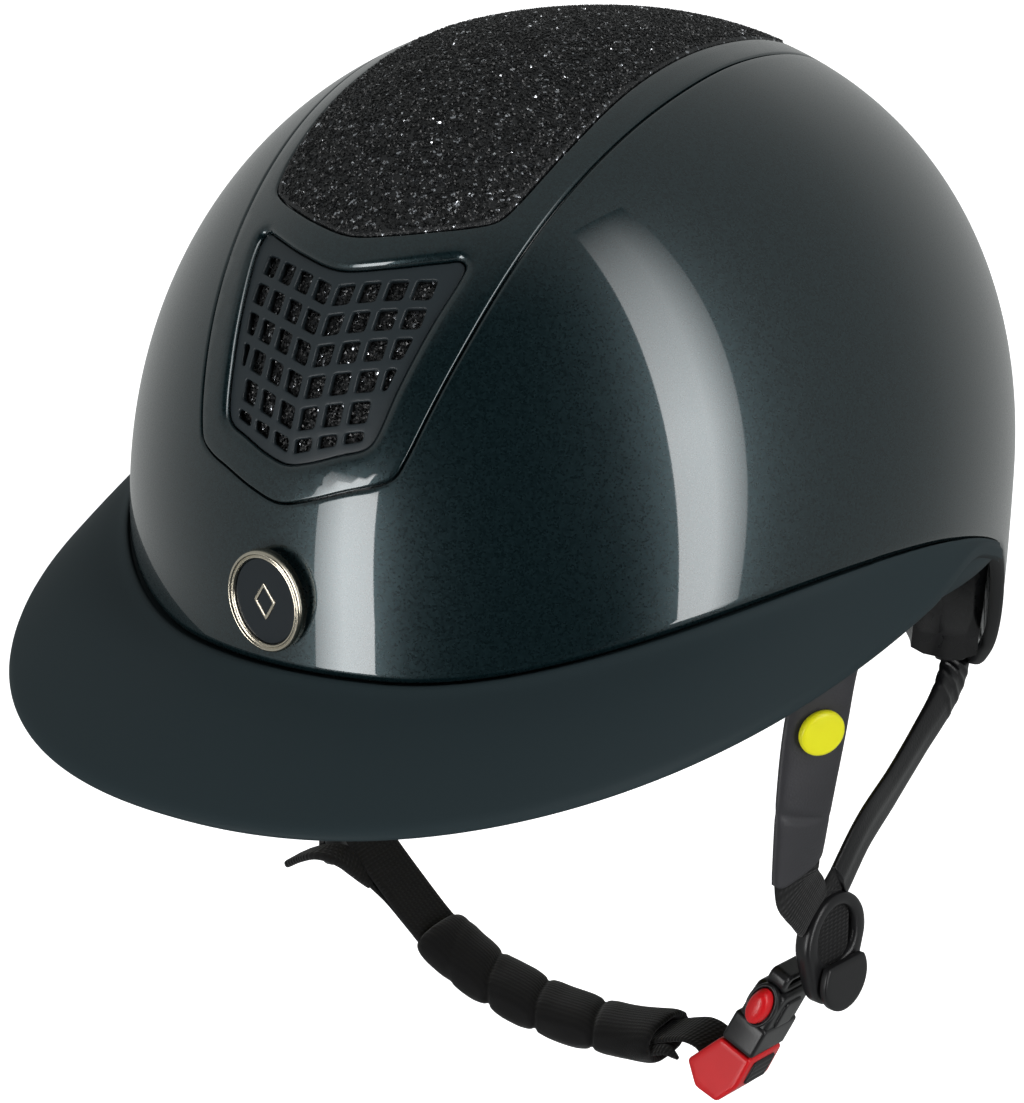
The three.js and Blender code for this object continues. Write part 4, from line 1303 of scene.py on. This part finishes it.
# %% Webbing at the dividers
FRONT_WEB = [(77.6, -17.2, -59), (77.4, -16.6, -62.9), (77.2, -14.2, -66), (77, -9.8, -70.3),
             (76.4, -6, -74.2), (75.6, -3, -76.5), (74.6, 1.5, -81.5), (74.4, 3, -88)]
FRONT_WEB_ACROSS = [(0.3, 0.95, 0.1), (0.2, 1, 0.15), (0.1, 1, 0.2), (0, 1, 0.3), (0, 1, 0.2), (0, 1, 0.1)]
REAR_WEB = [(78.2, 6, -68.8), (77.6, 3.5, -71), (76.4, 3, -75), (75.8, 3.2, -79)]
REAR_WEB_ACROSS = [(0, -0.5, 0.85), (0, -0.85, 0.5), (0, -1, 0)]


def drawn_in(share, across, through):
    """Narrower where the webbing goes through the divider."""
    return -0.12 * across * smooth_step(share, 0.45, 0.8), 0 * across, 0 * across


for label, side in (("left", 1), ("right", -1)):
    web = ribbon(f"{label}_front_web", mirrored(side, FRONT_WEB), mirrored(side, FRONT_WEB_ACROSS),
                 15.5, 1.4, WEBBING, 100, shape=drawn_in)
    finished(web, "helmet", "webbing", f"{label}_front_webbing")
    web = ribbon(f"{label}_rear_web", mirrored(side, REAR_WEB), mirrored(side, REAR_WEB_ACROSS),
                 12, 1.4, WEBBING, 90)
    finished(web, "helmet", "webbing")

# %% [markdown]
# Each divider is a plastic loop that holds the two straps together, with a round flap that
# locks them. The loop is made by sweeping a section between its inner and outer outlines,
# measured from the middle of its opening. The flap is a panel in a flat place of its own.

# %% Dividers
RING_CENTRE = np.array([3.3, -84.1])
DIVIDER_X = 76.5
DIVIDER_TURN = math.radians(10)


def circle_arc(middle, radius, start, end, count=40):
    angle = np.radians(np.linspace(start, end, count))
    return np.array(middle) + radius * np.stack([np.cos(angle), np.sin(angle)], -1)


def radius_at(loop, angles):
    """How far the loop is from the ring's centre in each direction."""
    away = even_loop(loop, 0.3) - RING_CENTRE
    turn = np.arctan2(away[:, 1], away[:, 0])
    order = np.argsort(turn)
    return np.interp(angles, turn[order], np.hypot(away[:, 0], away[:, 1])[order], period=2 * math.pi)


def hull_of_circles(circles):
    """The outline round two or more circles, as a loop of its outermost points."""
    cloud = np.vstack([circle_arc(middle, radius, 0, 360, 181)[:-1] for middle, radius in circles])
    cloud = cloud[np.lexsort((cloud[:, 1], cloud[:, 0]))]
    chains = []
    for ordered in (cloud, cloud[::-1]):
        chain = []
        for point in ordered:
            while len(chain) > 1:
                first, second = chain[-1] - chain[-2], point - chain[-1]
                if first[0] * second[1] - first[1] * second[0] > 0:
                    break
                chain.pop()
            chain.append(point)
        chains += chain[:-1]
    return np.array(chains)


def divider_place(side):
    """Flat (y, z) coordinates in the middle plane of a divider, which turns a little to the front."""
    sine, cosine = math.sin(DIVIDER_TURN), math.cos(DIVIDER_TURN)
    return flat_place(np.array([side * DIVIDER_X, 0, 0]), np.array([side * sine, cosine, 0]),
                      np.array([0, 0, 1.0]), np.array([side * cosine, -sine, 0]))


def divider(name, side):
    angles = np.linspace(0, 2 * math.pi, 200, endpoint=False)
    outer = radius_at(hull_of_circles([((3.2, -84.6), 12.0), ((3.4, -93.8), 9.5)]), angles)
    inner = radius_at(hull_of_circles([((3.2, -83.1), 7.2), ((3.4, -85.1), 7.2)]), angles)
    section = [(0, -1.7), (0, 1.3), (0.05, 2.0), (0.2, 2.4), (0.4, 2.55), (0.7, 2.5), (0.88, 2.25),
               (0.97, 1.7), (1, 1.0), (1, -1.3), (0.9, -2.1), (0.6, -2.5), (0.2, -2.4)]
    flat = np.stack([np.cos(angles), np.sin(angles)], -1)
    place = divider_place(side)
    rows = [place(RING_CENTRE + flat * (inner + (outer - inner) * share)[:, None], lift)
            for share, lift in section]
    return strip(name, np.stack(rows, 1), BLACK_PLASTIC, closed_rows=True)


FLAP_LOOP = rounded_polygon(circle_arc((4.2, -95.6), 8.8, 145, 395, 60), 0.9, 3)
for label, side in (("left", 1), ("right", -1)):
    finished(divider(f"{label}_strap_divider", side), "helmet", "black_plastic", f"{label}_divider")
    place = divider_place(side)
    middle = [tuple(place(np.array([RING_CENTRE[0], level]), 0.3)) for level in (-75.5, -81, -87, -93)]
    web = ribbon(f"{label}_ring_web", middle, [(side * 0.17, 0.98, 0)] * 2, 13.6, 1.5, WEBBING, 40)
    finished(web, "helmet", "webbing")
    flap = panel(f"{label}_lock_flap", [even_loop(FLAP_LOOP, 0.6)], BLACK_PLASTIC, lift=5.3, thickness=2.4,
                 edge=(1.0, 0.6), spacing=1.2, place=divider_place(side), round_back=True)
    finished(flap, f"{label}_flap", "black_plastic", f"{label}_divider_flap")

# %% [markdown]
# Plates under the shell hold the strap ends, and a plain round button sits on the sleeve. The
# button is turned from a profile, which suits anything round.

# %% Anchors and the button
for label, side in (("left", 1), ("right", -1)):
    place = flat_place(np.array([side * 95.2, -9, 14.3]), *np.eye(3))
    loop = rounded_polygon([(-6.5, -13.5), (6.5, -13.5), (6.5, 13.5), (-6.5, 13.5)], 3, 8)
    anchor = panel(f"{label}_front_anchor_plate", [even_loop(loop, 0.8)], BLACK_PLASTIC,
                   thickness=3, edge=(0.8, 0.8), place=place)
    finished(anchor, "helmet", "black_plastic", f"{label}_front_anchor")
    turn = math.radians(34) * side
    place = flat_place(np.array([side * 70.4, 79.5, -29.9]), np.array([math.cos(turn), math.sin(turn), 0]),
                       np.array([-math.sin(turn), math.cos(turn), 0]), np.array([0, 0, 1.0]))
    loop = rounded_polygon([(-4, -7.5), (4, -7.5), (4, 7.5), (-4, 7.5)], 2.5, 8)
    anchor = panel(f"{label}_rear_anchor_plate", [even_loop(loop, 0.7)], BLACK_PLASTIC,
                   thickness=2.2, edge=(0.7, 0.7), place=place)
    finished(anchor, "helmet", "black_plastic", f"{label}_rear_anchor")
BUTTON_AXIS = unit(np.array([0.823, -0.556, -0.12]))
BUTTON_PROFILE = [(0.01, -1.1), (5.6, -1.1), (5.9, -0.8), (6.0, -0.2), (5.95, 0.35), (5.7, 0.8), (5.3, 1.02),
                  (4.9, 1.08), (3, 1.14), (0.01, 1.16)]
BUTTON_CENTRE = np.array([85.2, -21.2, -19.3])
button = turned("side_button", BUTTON_CENTRE, BUTTON_AXIS, BUTTON_PROFILE, YELLOW_PLASTIC, 72)
finished(button, "helmet", "yellow", "yellow_button")

# %% [markdown]
# The buckle hangs from the left divider. It has its own directions: down along the strap,
# across from front to back, and outwards. Its black body, collar and loop are rounded panels,
# the red button is a dome on its front edge, and the red tongue is a wedge seen from its side,
# which slides out at the bottom.

# %% Buckle
BUCKLE_TOP = np.array([67.6, 0, -97.15])
BUCKLE_ROLL = math.radians(8)
BUCKLE_ACROSS = np.array([0, math.cos(BUCKLE_ROLL), -math.sin(BUCKLE_ROLL)])
BUCKLE_DOWN = unit(np.array([-0.4, -0.9165 * math.sin(BUCKLE_ROLL), -0.9165 * math.cos(BUCKLE_ROLL)]))
BUCKLE_OUT = np.cross(BUCKLE_DOWN, BUCKLE_ACROSS)
TONGUE_START = 22.4
buckle_place = flat_place(BUCKLE_TOP, BUCKLE_ACROSS, BUCKLE_DOWN, BUCKLE_OUT)


def both_sides(half):
    """Half an outline at positive a, closed by its mirror image."""
    return np.array(half + [(-a, b) for a, b in half[::-1] if a > 0], float)


def buckle_panel(name, half, radius, material, **sizes):
    loop = even_loop(rounded_polygon(both_sides(half), radius, 6), 0.55)
    return panel(name, [loop], material, spacing=1.2, place=buckle_place, round_back=True, **sizes)


housing = buckle_panel("buckle_body", [(6.6, 2.4), (7.6, 3.4), (8.4, 6.5), (8.2, 15)], 1.2, BLACK_PLASTIC,
                       lift=4.3, thickness=8.8, edge=(1.2, 1.2))
finished(housing, "chin_loop", "black_plastic", "buckle_housing")
collar = buckle_panel("buckle_collar", [(8.6, 12.8), (8.9, 14.6), (8.9, 22)], 1.0, BLACK_PLASTIC,
                      lift=4.8, thickness=10.0, edge=(0.9, 0.9))
finished(collar, "chin_loop", "black_plastic")
STRAP_BAR_HALF = [(7.4, -3.6), (8.6, -2.4), (8.4, 0.2), (6.0, 2.6)]
loop = even_loop(rounded_polygon(both_sides(STRAP_BAR_HALF), 1.0, 6), 0.55)
window = even_loop(rounded_polygon(both_sides([(5.4, -1.6), (5.4, 0.6)]), 0.7, 5), 0.4)
strap_bar = panel("buckle_strap_bar", [loop, window], BLACK_PLASTIC, lift=3.0, thickness=5.6, edge=(0.9, 0.9),
                  spacing=1.2, place=buckle_place, round_back=True)
finished(strap_bar, "chin_loop", "black_plastic")
ridge = buckle_panel("buckle_ridge", [(3.6, 4.8), (4.2, 5.6), (4.2, 12.4), (3.4, 13.2)], 1.0, BLACK_PLASTIC,
                     lift=4.9, thickness=1.6, edge=(0.6, 0.6))
finished(ridge, "chin_loop", "black_plastic")
button_place = flat_place(BUCKLE_TOP + BUCKLE_DOWN * 7.4, BUCKLE_OUT, BUCKLE_DOWN, -BUCKLE_ACROSS)
SEAT_SECTION = [(0, 7.4), (0, 8.8), (0.2, 9.2), (0.6, 9.3), (1.0, 9.0), (1.15, 7.4)]
seat = oval_ring("button_seat", 4.2, 6.6, SEAT_SECTION, button_place, BLACK_PLASTIC, 96)
finished(seat, "chin_loop", "black_plastic")
DOME_PROFILE = [(3.05, 5.3, 8.4), (3.05, 5.3, 9.2), (2.95, 5.15, 10.2), (2.7, 4.8, 11.1), (2.3, 4.2, 11.8),
                (1.6, 3.2, 12.2), (0.85, 1.8, 12.35), (0.05, 0.1, 12.4)]
rows = np.stack([button_place(oval(wide, tall, 96), lift) for wide, tall, lift in DOME_PROFILE])
press_button = strip("press_button", rows, RED_PLASTIC)
finished(press_button, "release_button", "red", "release_button")

# %% [markdown]
# The tongue is the half of the buckle that slides out. Its wedge outline is seen from the
# side, so the panel maker builds it in a place that faces sideways. The grip has real ribs.

# %% Tongue
tongue_place = flat_place(BUCKLE_TOP + BUCKLE_DOWN * TONGUE_START, BUCKLE_OUT, BUCKLE_DOWN, -BUCKLE_ACROSS)
WEDGE = rounded_polygon([(-5.2, 0), (5.0, 0), (5.2, 9.2), (2.2, 16.2), (-4.8, 16.6), (-10.2, 11.6)], 1.0, 5)
tongue = panel("red_tongue", [even_loop(WEDGE, 0.5)], RED_PLASTIC, lift=8.8, thickness=17.6, edge=(1.0, 1.0),
               spacing=1.0, place=tongue_place, round_back=True)
finished(tongue, "tongue", "red", "buckle_tongue")


def ribbed_place(flat, lift=0.0):
    """The tongue's outer face, with ribs across it."""
    flat = np.asarray(flat, float)
    inner = 1 - smooth_step(np.abs(flat[..., 0]), 4.2, 5.2)
    rib = 0.28 * np.cos(flat[..., 1] * 2 * math.pi / 1.9) * inner * (lift > 0)
    return buckle_place(flat, 0) + BUCKLE_OUT * (lift + rib)[..., None]


GRIP_HALF = [(5.4, 23.9), (5.6, 25), (5.6, 30.4), (4.2, 31.6)]
loop = even_loop(rounded_polygon(both_sides(GRIP_HALF), 1.2, 6), 0.35)
inset = panel("tongue_grip", [loop], BLACK_PLASTIC, lift=5.7, thickness=1.2, edge=(0.4, 0.4), spacing=0.4,
              place=ribbed_place)
finished(inset, "tongue", "black_plastic", "tongue_inset")

# %% [markdown]
# The padded pieces are stuffed fabric. Each starts as a slightly thin closed form. It is
# remeshed evenly and becomes cloth with air pressure inside, as if it were blown up for a
# moment, and how far each point may move is capped. The sewn channels are pressed in after
# that, because remeshing would lose them.

# %% Stuffing


def read_points(piece):
    flat = np.empty(len(piece.data.vertices) * 3)
    piece.data.vertices.foreach_get("co", flat)
    return flat.reshape(-1, 3)


def write_points(piece, points):
    piece.data.vertices.foreach_set("co", points.ravel())
    piece.data.update()


def apply_all(piece):
    """Turns a piece with its modifiers into plain mesh."""
    mesh = bpy.data.meshes.new_from_object(piece.evaluated_get(bpy.context.evaluated_depsgraph_get()))
    piece.modifiers.clear()
    piece.data = mesh
    mesh.polygons.foreach_set("use_smooth", [True] * len(mesh.polygons))


def stuffed(piece, voxel, pressure, cap, material):
    remesh = piece.modifiers.new("even", "REMESH")
    remesh.mode = "VOXEL"
    remesh.voxel_size = voxel * MM
    apply_all(piece)
    start = read_points(piece)
    cloth = piece.modifiers.new("air", "CLOTH")
    cloth.settings.use_pressure = True
    cloth.settings.uniform_pressure_force = pressure
    cloth.settings.quality = 5
    cloth.settings.effector_weights.gravity = 0
    cloth.point_cache.frame_start = 1
    cloth.point_cache.frame_end = 20
    for step in range(1, 21):
        bpy.context.scene.frame_set(step)
    apply_all(piece)
    bpy.context.scene.frame_set(1)
    move = read_points(piece) - start
    far = np.linalg.norm(move, axis=1, keepdims=True)
    write_points(piece, start + move * np.minimum(1, cap * MM / np.maximum(far, 1e-9)))
    smooth = piece.modifiers.new("smooth", "CORRECTIVE_SMOOTH")
    smooth.iterations = 4
    smooth.use_only_smooth = True
    finer = piece.modifiers.new("finer", "SUBSURF")
    finer.levels = 1
    finer.render_levels = 1
    apply_all(piece)
    piece.data.materials.clear()
    piece.data.materials.append(material)
    print(f"{piece.name}: stuffed, {len(piece.data.polygons)} faces")
    return piece


def padding(name, color, lighter, rib, axis):
    """Soft knitted fabric with fine ribs along it."""
    finish = Finish(name, color, 0.9, 0.0, Sheen_Weight=0.25, Sheen_Roughness=0.45, Specular_IOR_Level=0.2)
    ribs = (finish.axis(finish.place(), axis) * (2 * math.pi / (rib * MM))).sine()
    fibre = finish.noise(finish.place(), 2400.0, 4.0, 0.65)
    broad = finish.noise(finish.place(), 45.0, 3.0)
    finish.feed("Base Color", finish.blend(fibre * 0.5 + ribs * 0.2 + broad * 0.3, color, lighter))
    finish.bump(ribs * 0.2 + fibre, 0.0002, 0.6)
    return finish.material


CHIN_FABRIC = padding("chin_fabric", (0.003, 0.003, 0.0033), (0.009, 0.009, 0.0095), 1.25, "Y")
LINING_FABRIC = padding("lining_fabric", (0.006, 0.0065, 0.007), (0.015, 0.0155, 0.017), 1.5, "Z")
print("padding finishes:", CHIN_FABRIC.name, LINING_FABRIC.name)

# %% [markdown]
# The chin pad is a soft tube round the strap, with shallow folds where it bends. It starts as
# a swept ring with gentle bulges, is stuffed, and then gets its folds.

# %% Chin pad
CHIN_PATH = [(-44, 0, -113.6), (-34, 0, -119.6), (-22.5, 0, -124.5), (-3, 0, -128.2), (17, 0, -127.6),
             (32.5, 0, -124.8)]
CHIN_ACROSS = [(0, 1, 0), (0, 1, 0), (0, 1, 0)]
CHIN_BULGES = 5


def chin_pad_rows():
    share = np.linspace(0, 1, 150)
    middle, along, side, through = along_frame(CHIN_PATH, CHIN_ACROSS, share)
    angle = np.linspace(0, 2 * math.pi, 64, endpoint=False)
    a, t = signed_power(np.cos(angle), 0.85), signed_power(np.sin(angle), 0.85)
    phase = CHIN_BULGES * share[:, None] + 0.1 * a
    bulge = 0.96 + 0.04 * np.abs(np.sin(math.pi * phase)) ** 0.6
    ends = 1 - 0.12 * bell(share, 0, 0.03)[:, None] + 0.10 * smooth_step(share, 0.86, 1)[:, None]
    rows = (middle[:, None] + side[:, None] * (10.9 * a * bulge**0.7 * ends)[..., None]
            + through[:, None] * (5.4 * t * bulge**1.6 * ends)[..., None])
    lip = middle[-1] + (rows[-1] - middle[-1]) * [[0.78, 0.78, 0.62]]
    deep = lip - along[-1] * 7
    return np.concatenate([rows, lip[None], deep[None]])


def pinched(piece, depth_of):
    """Moves the points of a piece along their normals, by depths in mm that a rule gives."""
    points = read_points(piece)
    normals = np.empty(len(points) * 3)
    piece.data.vertices.foreach_get("normal", normals)
    write_points(piece, points + normals.reshape(-1, 3) * (depth_of(points / MM) * MM)[:, None])


def chin_wrinkles(points):
    """Shallow slanted folds between the bulges."""
    run = points[:, 0] + 0.3 * points[:, 1]
    fold = sum(bell(run, place, 0.9) + 0.8 * bell(run, place, 3.2) for place in (-24.0, -8.5, 10.0))
    return -0.8 * fold - 0.3 * bell(run, -36.0, 1.2)


chin_pad = stuffed(strip("chin_cushion", chin_pad_rows(), CHIN_FABRIC), 1.3, 4.0, 0.9, CHIN_FABRIC)
pinched(chin_pad, chin_wrinkles)
finished(chin_pad, "chin_loop", "padding", "chin_pad")

# %% [markdown]
# Webbing comes out of the chin pad at both ends, and the strap's loose end runs beside it. The
# left webbing runs between two bodies, as the tongue slides while the pad stays, and it is
# left on neither of them.

# %% Chin webbing
RIGHT_WEB = [(-74, 1.5, -84), (-71.2, 0, -86), (-66, 0, -92.5), (-55, 0, -103.5), (-44.6, 0, -113),
             (-40, 0, -116)]
LEFT_WEB = [(29, 0, -125), (36, 0, -122), (41.5, -0.5, -120.4), (46, -1.2, -121.2), (50, -2.4, -125)]
UNDER_WEB = [(-43, -3, -117), (-49.5, -3.5, -110.8), (-56.5, -4, -104.6), (-62.2, -6.5, -98.8)]
TAIL_WEB = [(-61.2, -6.2, -99.8), (-66.8, -11.8, -93.4), (-71.5, -14.5, -92), (-77.7, -14, -94.5),
            (-82.7, -13.5, -97.5)]
right_web = ribbon("right_chin_web", RIGHT_WEB, CHIN_ACROSS, 18, 1.5, WEBBING, 120)
finished(right_web, "chin_loop", "webbing", "chin_webbing_right")
left_web = ribbon("left_chin_web", LEFT_WEB, CHIN_ACROSS, 15.5, 1.5, WEBBING, 80)
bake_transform(left_web)
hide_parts("chin_webbing_left")
under_web = ribbon("strap_under", UNDER_WEB, CHIN_ACROSS, 8.5, 1.5, WEBBING, 90)
finished(under_web, "chin_loop", "webbing")
tail_web = ribbon("strap_end", TAIL_WEB, CHIN_ACROSS, 9, 2.2, WEBBING, 140)
finished(tail_web, "helmet", "webbing", "right_strap_tail")
ELASTIC_TAB = [(28, -7.5, -127), (33.5, -8.6, -125), (36.5, -9, -124), (40.5, -9.8, -124.8)]
elastic_tab = ribbon("elastic_tab", ELASTIC_TAB, [(0, 1, 0.5), (0, 1, 0.6)], 3.6, 1.1, WEBBING, 40,
                     shape=lambda share, across, through: (-0.75 * across * share**4, 0 * across, 0 * across))
finished(elastic_tab, "chin_loop", "webbing")

# %% [markdown]
# Inside, padded bands lie against the head. Each is a closed band between two levels, which is
# stuffed, with sewn channels pressed in.

# %% Lining pads


def lining_form(name, start, end, outer, inner, low, high, material, steps=150):
    """A thin closed band inside the head opening, from one turn to another."""
    theta = np.radians(np.linspace(start, end, steps))
    angle = np.linspace(0, 2 * math.pi, 36, endpoint=False)
    depth, height = signed_power(np.cos(angle), 0.6), signed_power(np.sin(angle), 0.5)
    shrink = np.minimum(1, (1 - np.abs(np.linspace(-1, 1, steps)) ** 24) ** 0.5 + 0.35)
    columns = []
    for out, up in zip(depth, height):
        level = (low(theta) + high(theta)) / 2 + up * shrink * (high(theta) - low(theta)) / 2
        columns.append(at_height(theta, level, (outer + inner) / 2 - out * (inner - outer) / 2))
    return strip(name, np.stack(columns, 1), material)


def channels(places):
    """Sewn channels at turns (in degrees) to both sides of the front."""
    def depth(points):
        turn = np.degrees(np.arctan2(points[:, 0], -points[:, 1]))
        return -0.8 * sum(bell(np.abs(turn), place, 1.0) for place in places)
    return depth


headband = lining_form("headband", -93, 93, PAD_INSET + 0.6, PAD_INSET + 4.2, lambda t: slip_edge(t) + 0.8,
                       lambda t: slip_edge(t) + 29, LINING_FABRIC)
stuffed(headband, 2.0, 4.0, 0.7, LINING_FABRIC)
pinched(headband, channels((18, 36, 54, 72)))
finished(headband, "slip_liner", "padding", "headband_pad")
nape = lining_form("nape_cushion", 127, 233, 24.0, 29.6, shell_edge, lambda t: shell_edge(t) + 23,
                   LINING_FABRIC, 110)
stuffed(nape, 2.2, 4.0, 0.8, LINING_FABRIC)
pinched(nape, channels((135, 150, 165)))
finished(nape, "helmet", "padding", "nape_pad")

# %% [markdown]
# The crown pad is a thin cap under the top of the dome. Its two skins are one strip of rings,
# down from the pole and back up to it, so it is closed before it is stuffed.

# %% Crown pad
crown_turn = np.linspace(0, 2 * math.pi, 96, endpoint=False)
CROWN_ALPHA = math.radians(58)
crown_low = WIDEST_LEVEL + HEIGHT_ABOVE * math.sin(CROWN_ALPHA) ** (2 / POWER_ABOVE)


def crown_rows():
    edge = polar(at_height(crown_turn, crown_low))
    rows = []
    shares = np.linspace(1, 0.04, 12)
    for inset, skin_shares in ((PAD_INSET + 0.5, shares), (PAD_INSET + 3.6, shares[::-1])):
        for share in skin_shares:
            up = edge[1] + (math.pi / 2 - edge[1]) * share
            rows.append(lifted(from_polar(edge[0], up), np.full(len(up), -inset)))
    return np.stack(rows)


crown_pad = strip("crown_cushion", crown_rows(), LINING_FABRIC, caps=False)
stuffed(crown_pad, 2.2, 4.0, 0.7, LINING_FABRIC)
pinched(crown_pad, lambda p: -0.9 * (bell(p[:, 0], 0, 1.4) + bell(np.abs(p[:, 1] - 6), 16, 1.4)))
finished(crown_pad, "slip_liner", "padding", "crown_pad")

# %% [markdown]
# The studio is plain. Two softboxes stand in front and at the right, and their reflections bend
# with the shell. Area lights would give reflections with hard edges all round, so each softbox
# is a glowing sheet with a ramp that fades it towards one side and its top. Between them it is
# dark, which keeps the lacquer deep. The surroundings behind the helmet are light, so its
# outline catches a bright rim.

# %% Studio
FLOOR_LEVEL = -0.30
LIGHT_DISTANCE = 2.2


def softbox(name, azimuth, low, high, width, glow, side_fade, top_fade):
    """An upright glowing sheet between two elevations, fading to one side and to its top."""
    finish = Finish(name, (0, 0, 0), 1.0, Specular_IOR_Level=0.0, Emission_Strength=glow)
    across, up = (finish.axis(finish.uv(), axis) for axis in "XY")
    fade_left = [(0.0, 1 - side_fade), (0.5, 1.0)]
    fade_right = [(0.55, 1.0), (1.0, 1 + side_fade)]
    side = finish.ramp(across, fade_left if side_fade > 0 else fade_right)
    top = finish.ramp(up, [(1 - top_fade, 1.0), (1.0, 0.0)])
    finish.feed("Emission Color", side * top)
    direction = towards(math.radians(azimuth), math.radians((low + high) / 2))
    right = np.array([math.cos(math.radians(azimuth)), math.sin(math.radians(azimuth)), 0])
    rise = np.cross(np.array(direction), right)
    half_width = width / 2
    half_height = LIGHT_DISTANCE * math.tan(math.radians(high - low) / 2)
    corners = [(0, 0), (1, 0), (1, 1), (0, 1)]
    points = [(np.array(direction) * LIGHT_DISTANCE + right * half_width * (2 * u - 1)
               + rise * half_height * (2 * v - 1)) / MM for u, v in corners]
    sheet = make_mesh(name, points, [(0, 1, 2, 3)], finish.material, uv=corners)
    sheet.visible_camera = False


softbox("left_softbox", -10, -24, 13, 0.72, 10.0, 0.6, 0.1)
softbox("right_softbox", 79, -22, 72, 0.66, 8.6, -0.7, 0.55)


def studio_world():
    """White all round, but dark where the camera stands, as that is what the lacquer mirrors."""
    world = bpy.data.worlds.new("studio")
    bpy.context.scene.world = world
    world.use_nodes = True
    tree = world.node_tree
    background = tree.nodes["Background"]
    place = tree.nodes.new("ShaderNodeTexCoord")
    facing = tree.nodes.new("ShaderNodeVectorMath")
    facing.operation = "DOT_PRODUCT"
    facing.inputs[1].default_value = towards(AZIMUTH, math.radians(12))
    tree.links.new(place.outputs["Generated"], facing.inputs[0])
    tone = tree.nodes.new("ShaderNodeMapRange")
    for socket, value in zip(tone.inputs[1:5], (0.80, 0.35, 0.010, 0.36)):
        socket.default_value = value
    tone.interpolation_type = "SMOOTHSTEP"
    tree.links.new(facing.outputs["Value"], tone.inputs[0])
    background.inputs["Color"].default_value = (0.97, 1.0, 0.99, 1)
    tree.links.new(tone.outputs[0], background.inputs["Strength"])


studio_world()
print("two softboxes at", LIGHT_DISTANCE, "m")

# %% [markdown]
# The floor curves up into a wall. A white ball round it all gives every view the same pale
# backdrop. Both glow, so that they look white without a lamp, and both are left out of
# reflections and bounced light, because they would grey the lacquer.

# %% Floor


def only_for_camera(made):
    """Keeps a stage piece out of reflections and bounced light."""
    made.visible_glossy = False
    made.visible_diffuse = False


def pale_floor(material):
    """A floor that curves up into a wall behind the helmet."""
    bend = 0.6
    start = 0.9
    profile = [(-0.75, 0), (start, 0)]
    for turn in np.linspace(0, math.pi / 2, 16)[1:]:
        profile.append((start + bend * math.sin(turn), bend - bend * math.cos(turn)))
    profile.append((start + bend, 2.4))
    rows = [[(x / MM, y / MM, (FLOOR_LEVEL + z) / MM) for x in (-3.0, 3.0)] for y, z in profile]
    faces = [(2 * i, 2 * i + 1, 2 * i + 3, 2 * i + 2) for i in range(len(profile) - 1)]
    only_for_camera(make_mesh("pale_floor", np.array(rows).reshape(-1, 3), faces, material))


def pale_surround(material):
    """A white ball round the whole studio, so that every view has the same backdrop."""
    work = bmesh.new()
    bmesh.ops.create_uvsphere(work, u_segments=48, v_segments=24, radius=3.2)
    mesh = bpy.data.meshes.new("pale_surround")
    work.to_mesh(mesh)
    work.free()
    mesh.materials.append(material)
    ball = bpy.data.objects.new("pale_surround", mesh)
    bpy.context.scene.collection.objects.link(ball)
    ball.visible_shadow = False
    only_for_camera(ball)


WHITE = Finish("pale_floor", (0.86, 0.86, 0.87), 0.9, Emission_Color=(1, 1, 1, 1), Emission_Strength=1.0)
pale_floor(WHITE.material)
pale_surround(WHITE.material)
print("floor at", FLOOR_LEVEL, "m")
